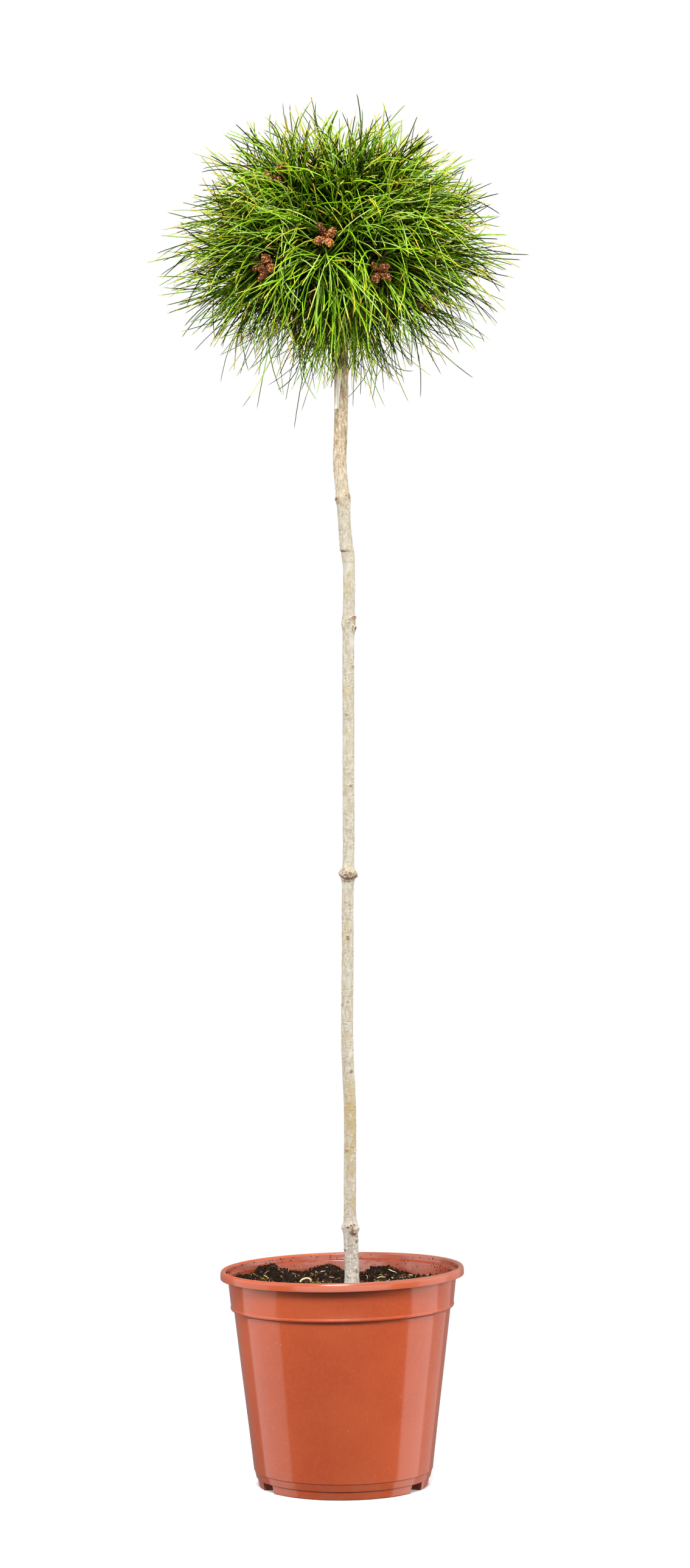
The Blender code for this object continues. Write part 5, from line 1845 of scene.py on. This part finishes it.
def area_lamp(name, place, aim, width, height, power, diffuse, glossy):
    lamp = bpy.data.lights.new(name, "AREA")
    lamp.shape = "RECTANGLE"
    lamp.size = width
    lamp.size_y = height
    lamp.energy = power * settings().light_strength
    made = in_scene(name, lamp)
    made.location = place
    made.rotation_euler = (Vector(aim) - Vector(place)).to_track_quat("-Z", "Y").to_euler()
    made.visible_camera = False
    made.visible_diffuse = diffuse
    made.visible_glossy = glossy


def make_floor():
    """A pale disc that fades out into the white of the studio."""
    shape = bmesh.new()
    bmesh.ops.create_circle(shape, cap_ends=True, segments=96, radius=FLOOR_RADIUS)
    mesh = bpy.data.meshes.new("floor")
    shape.to_mesh(mesh)
    shape.free()
    look = Finish("floor", roughness=0.6, specular=0.2, colour=tuple(settings().floor_colour))
    away = look.add("ShaderNodeVectorMath", {"operation": "LENGTH"}, [look.place], "Value")
    clear = look.add("ShaderNodeBsdfTransparent")
    surface = Signal(look, look.shader.outputs[0])
    faded = look.add("ShaderNodeMixShader", {}, [away.between(*FLOOR_FADE), surface, clear])
    look.tree.links.new(faded.socket, look.tree.nodes["Material Output"].inputs["Surface"])
    mesh.materials.append(look.material)
    made = in_scene("floor", mesh)
    made.location = (0.0, 0.0, -0.0005)
    made.visible_glossy = False
    made.visible_diffuse = False


def make_world():
    """White to the camera, a soft sky to the plant, and an even grey in what the pot mirrors."""
    world = bpy.context.scene.world or bpy.data.worlds.new("studio")
    bpy.context.scene.world = world
    world.use_nodes = True
    world.node_tree.nodes.clear()
    nodes = Nodes(world.node_tree)
    place = nodes.add("ShaderNodeTexCoord", output="Generated")
    up = nodes.add("ShaderNodeSeparateXYZ", {}, [place], "Z")
    sky = nodes.add("ShaderNodeMapRange", {}, {"Value": up, **SKY})
    glossy = nodes.add("ShaderNodeLightPath", output="Is Glossy Ray")
    seen = nodes.add("ShaderNodeLightPath", output="Is Camera Ray")
    mirrored = {"Factor": glossy, "A": sky, "B": MIRRORED_SKY}
    strength = nodes.add("ShaderNodeMix", {}, mirrored, "Result")
    light = {"Color": (0.97, 0.985, 1.0, 1.0), "Strength": strength}
    light = nodes.add("ShaderNodeBackground", {}, light)
    white = {"Color": (1.0, 1.0, 1.0, 1.0), "Strength": 1.0}
    white = nodes.add("ShaderNodeBackground", {}, white)
    both = nodes.add("ShaderNodeMixShader", {}, [seen, light, white])
    nodes.add("ShaderNodeOutputWorld", {}, {"Surface": both})


def make_camera():
    lens = bpy.data.cameras.new("camera")
    lens.sensor_fit = "VERTICAL"
    lens.sensor_height = 36.0
    lens.lens = CAMERA_LENS
    lens.shift_y = (LEVEL_ROW - PICTURE_HEIGHT / 2.0) / PICTURE_HEIGHT
    lens.clip_end = 50.0
    made = in_scene("camera", lens)
    made.location = CAMERA_PLACE
    made.rotation_euler = (math.radians(90.0), math.radians(CAMERA_ROLL), 0.0)
    bpy.context.scene.camera = made


def make_studio():
    make_floor()
    make_world()
    make_camera()
    for lamp in LAMPS:
        area_lamp(*lamp)
    view = bpy.context.scene.view_settings
    view.view_transform = "Standard"
    view.look = "None"
    view.exposure = 0.0
    view.gamma = 1.0


# Operators


class PINE_OT_pot(bpy.types.Operator):
    """Builds the plastic pot"""

    bl_idname = "pine.pot"
    bl_label = "Pot"

    def execute(self, context):
        make_pot()
        return {"FINISHED"}


class PINE_OT_soil(bpy.types.Operator):
    """Builds the peat with its crumbs and fibres"""

    bl_idname = "pine.soil"
    bl_label = "Soil"

    def execute(self, context):
        make_soil()
        make_crumbs()
        make_fibres()
        return {"FINISHED"}


class PINE_OT_stem(bpy.types.Operator):
    """Builds the stem with its bark, knots and scars"""

    bl_idname = "pine.stem"
    bl_label = "Stem"

    def execute(self, context):
        make_trunk()
        return {"FINISHED"}


class PINE_OT_boughs(bpy.types.Operator):
    """Builds the boughs inside the crown"""

    bl_idname = "pine.boughs"
    bl_label = "Boughs"

    def execute(self, context):
        make_boughs()
        return {"FINISHED"}


class PINE_OT_foliage(bpy.types.Operator):
    """Grows the twigs and needles of every mass, and the brown bud clusters"""

    bl_idname = "pine.foliage"
    bl_label = "Foliage"

    def execute(self, context):
        make_clusters(make_foliage())
        return {"FINISHED"}


class PINE_OT_studio(bpy.types.Operator):
    """Sets up the floor, lights and camera"""

    bl_idname = "pine.studio"
    bl_label = "Studio"

    def execute(self, context):
        make_studio()
        return {"FINISHED"}


OPERATORS = (
    PINE_OT_studio, PINE_OT_pot, PINE_OT_soil, PINE_OT_stem, PINE_OT_boughs, PINE_OT_foliage,
)


class VIEW3D_PT_potted_pine(bpy.types.Panel):
    """Lists the settings and the steps of the potted pine"""

    bl_label = "Potted Pine"
    bl_space_type = "VIEW_3D"
    bl_region_type = "UI"
    bl_category = "Potted Pine"

    def draw(self, context):
        for name in PottedPineSettings.__annotations__:
            self.layout.prop(context.scene.potted_pine, name)
        for operator in OPERATORS:
            self.layout.operator(operator.bl_idname)


CLASSES = (PottedPineSettings, *OPERATORS, VIEW3D_PT_potted_pine)


def register():
    for item in CLASSES:
        bpy.utils.register_class(item)
    bpy.types.Scene.potted_pine = bpy.props.PointerProperty(type=PottedPineSettings)


def unregister():
    del bpy.types.Scene.potted_pine
    for item in reversed(CLASSES):
        bpy.utils.unregister_class(item)


def main():
    register()
    bpy.ops.pine.studio()
    bpy.ops.pine.pot()
    bpy.ops.pine.soil()
    bpy.ops.pine.stem()
    bpy.ops.pine.boughs()
    bpy.ops.pine.foliage()


if __name__ == "__main__":
    main()
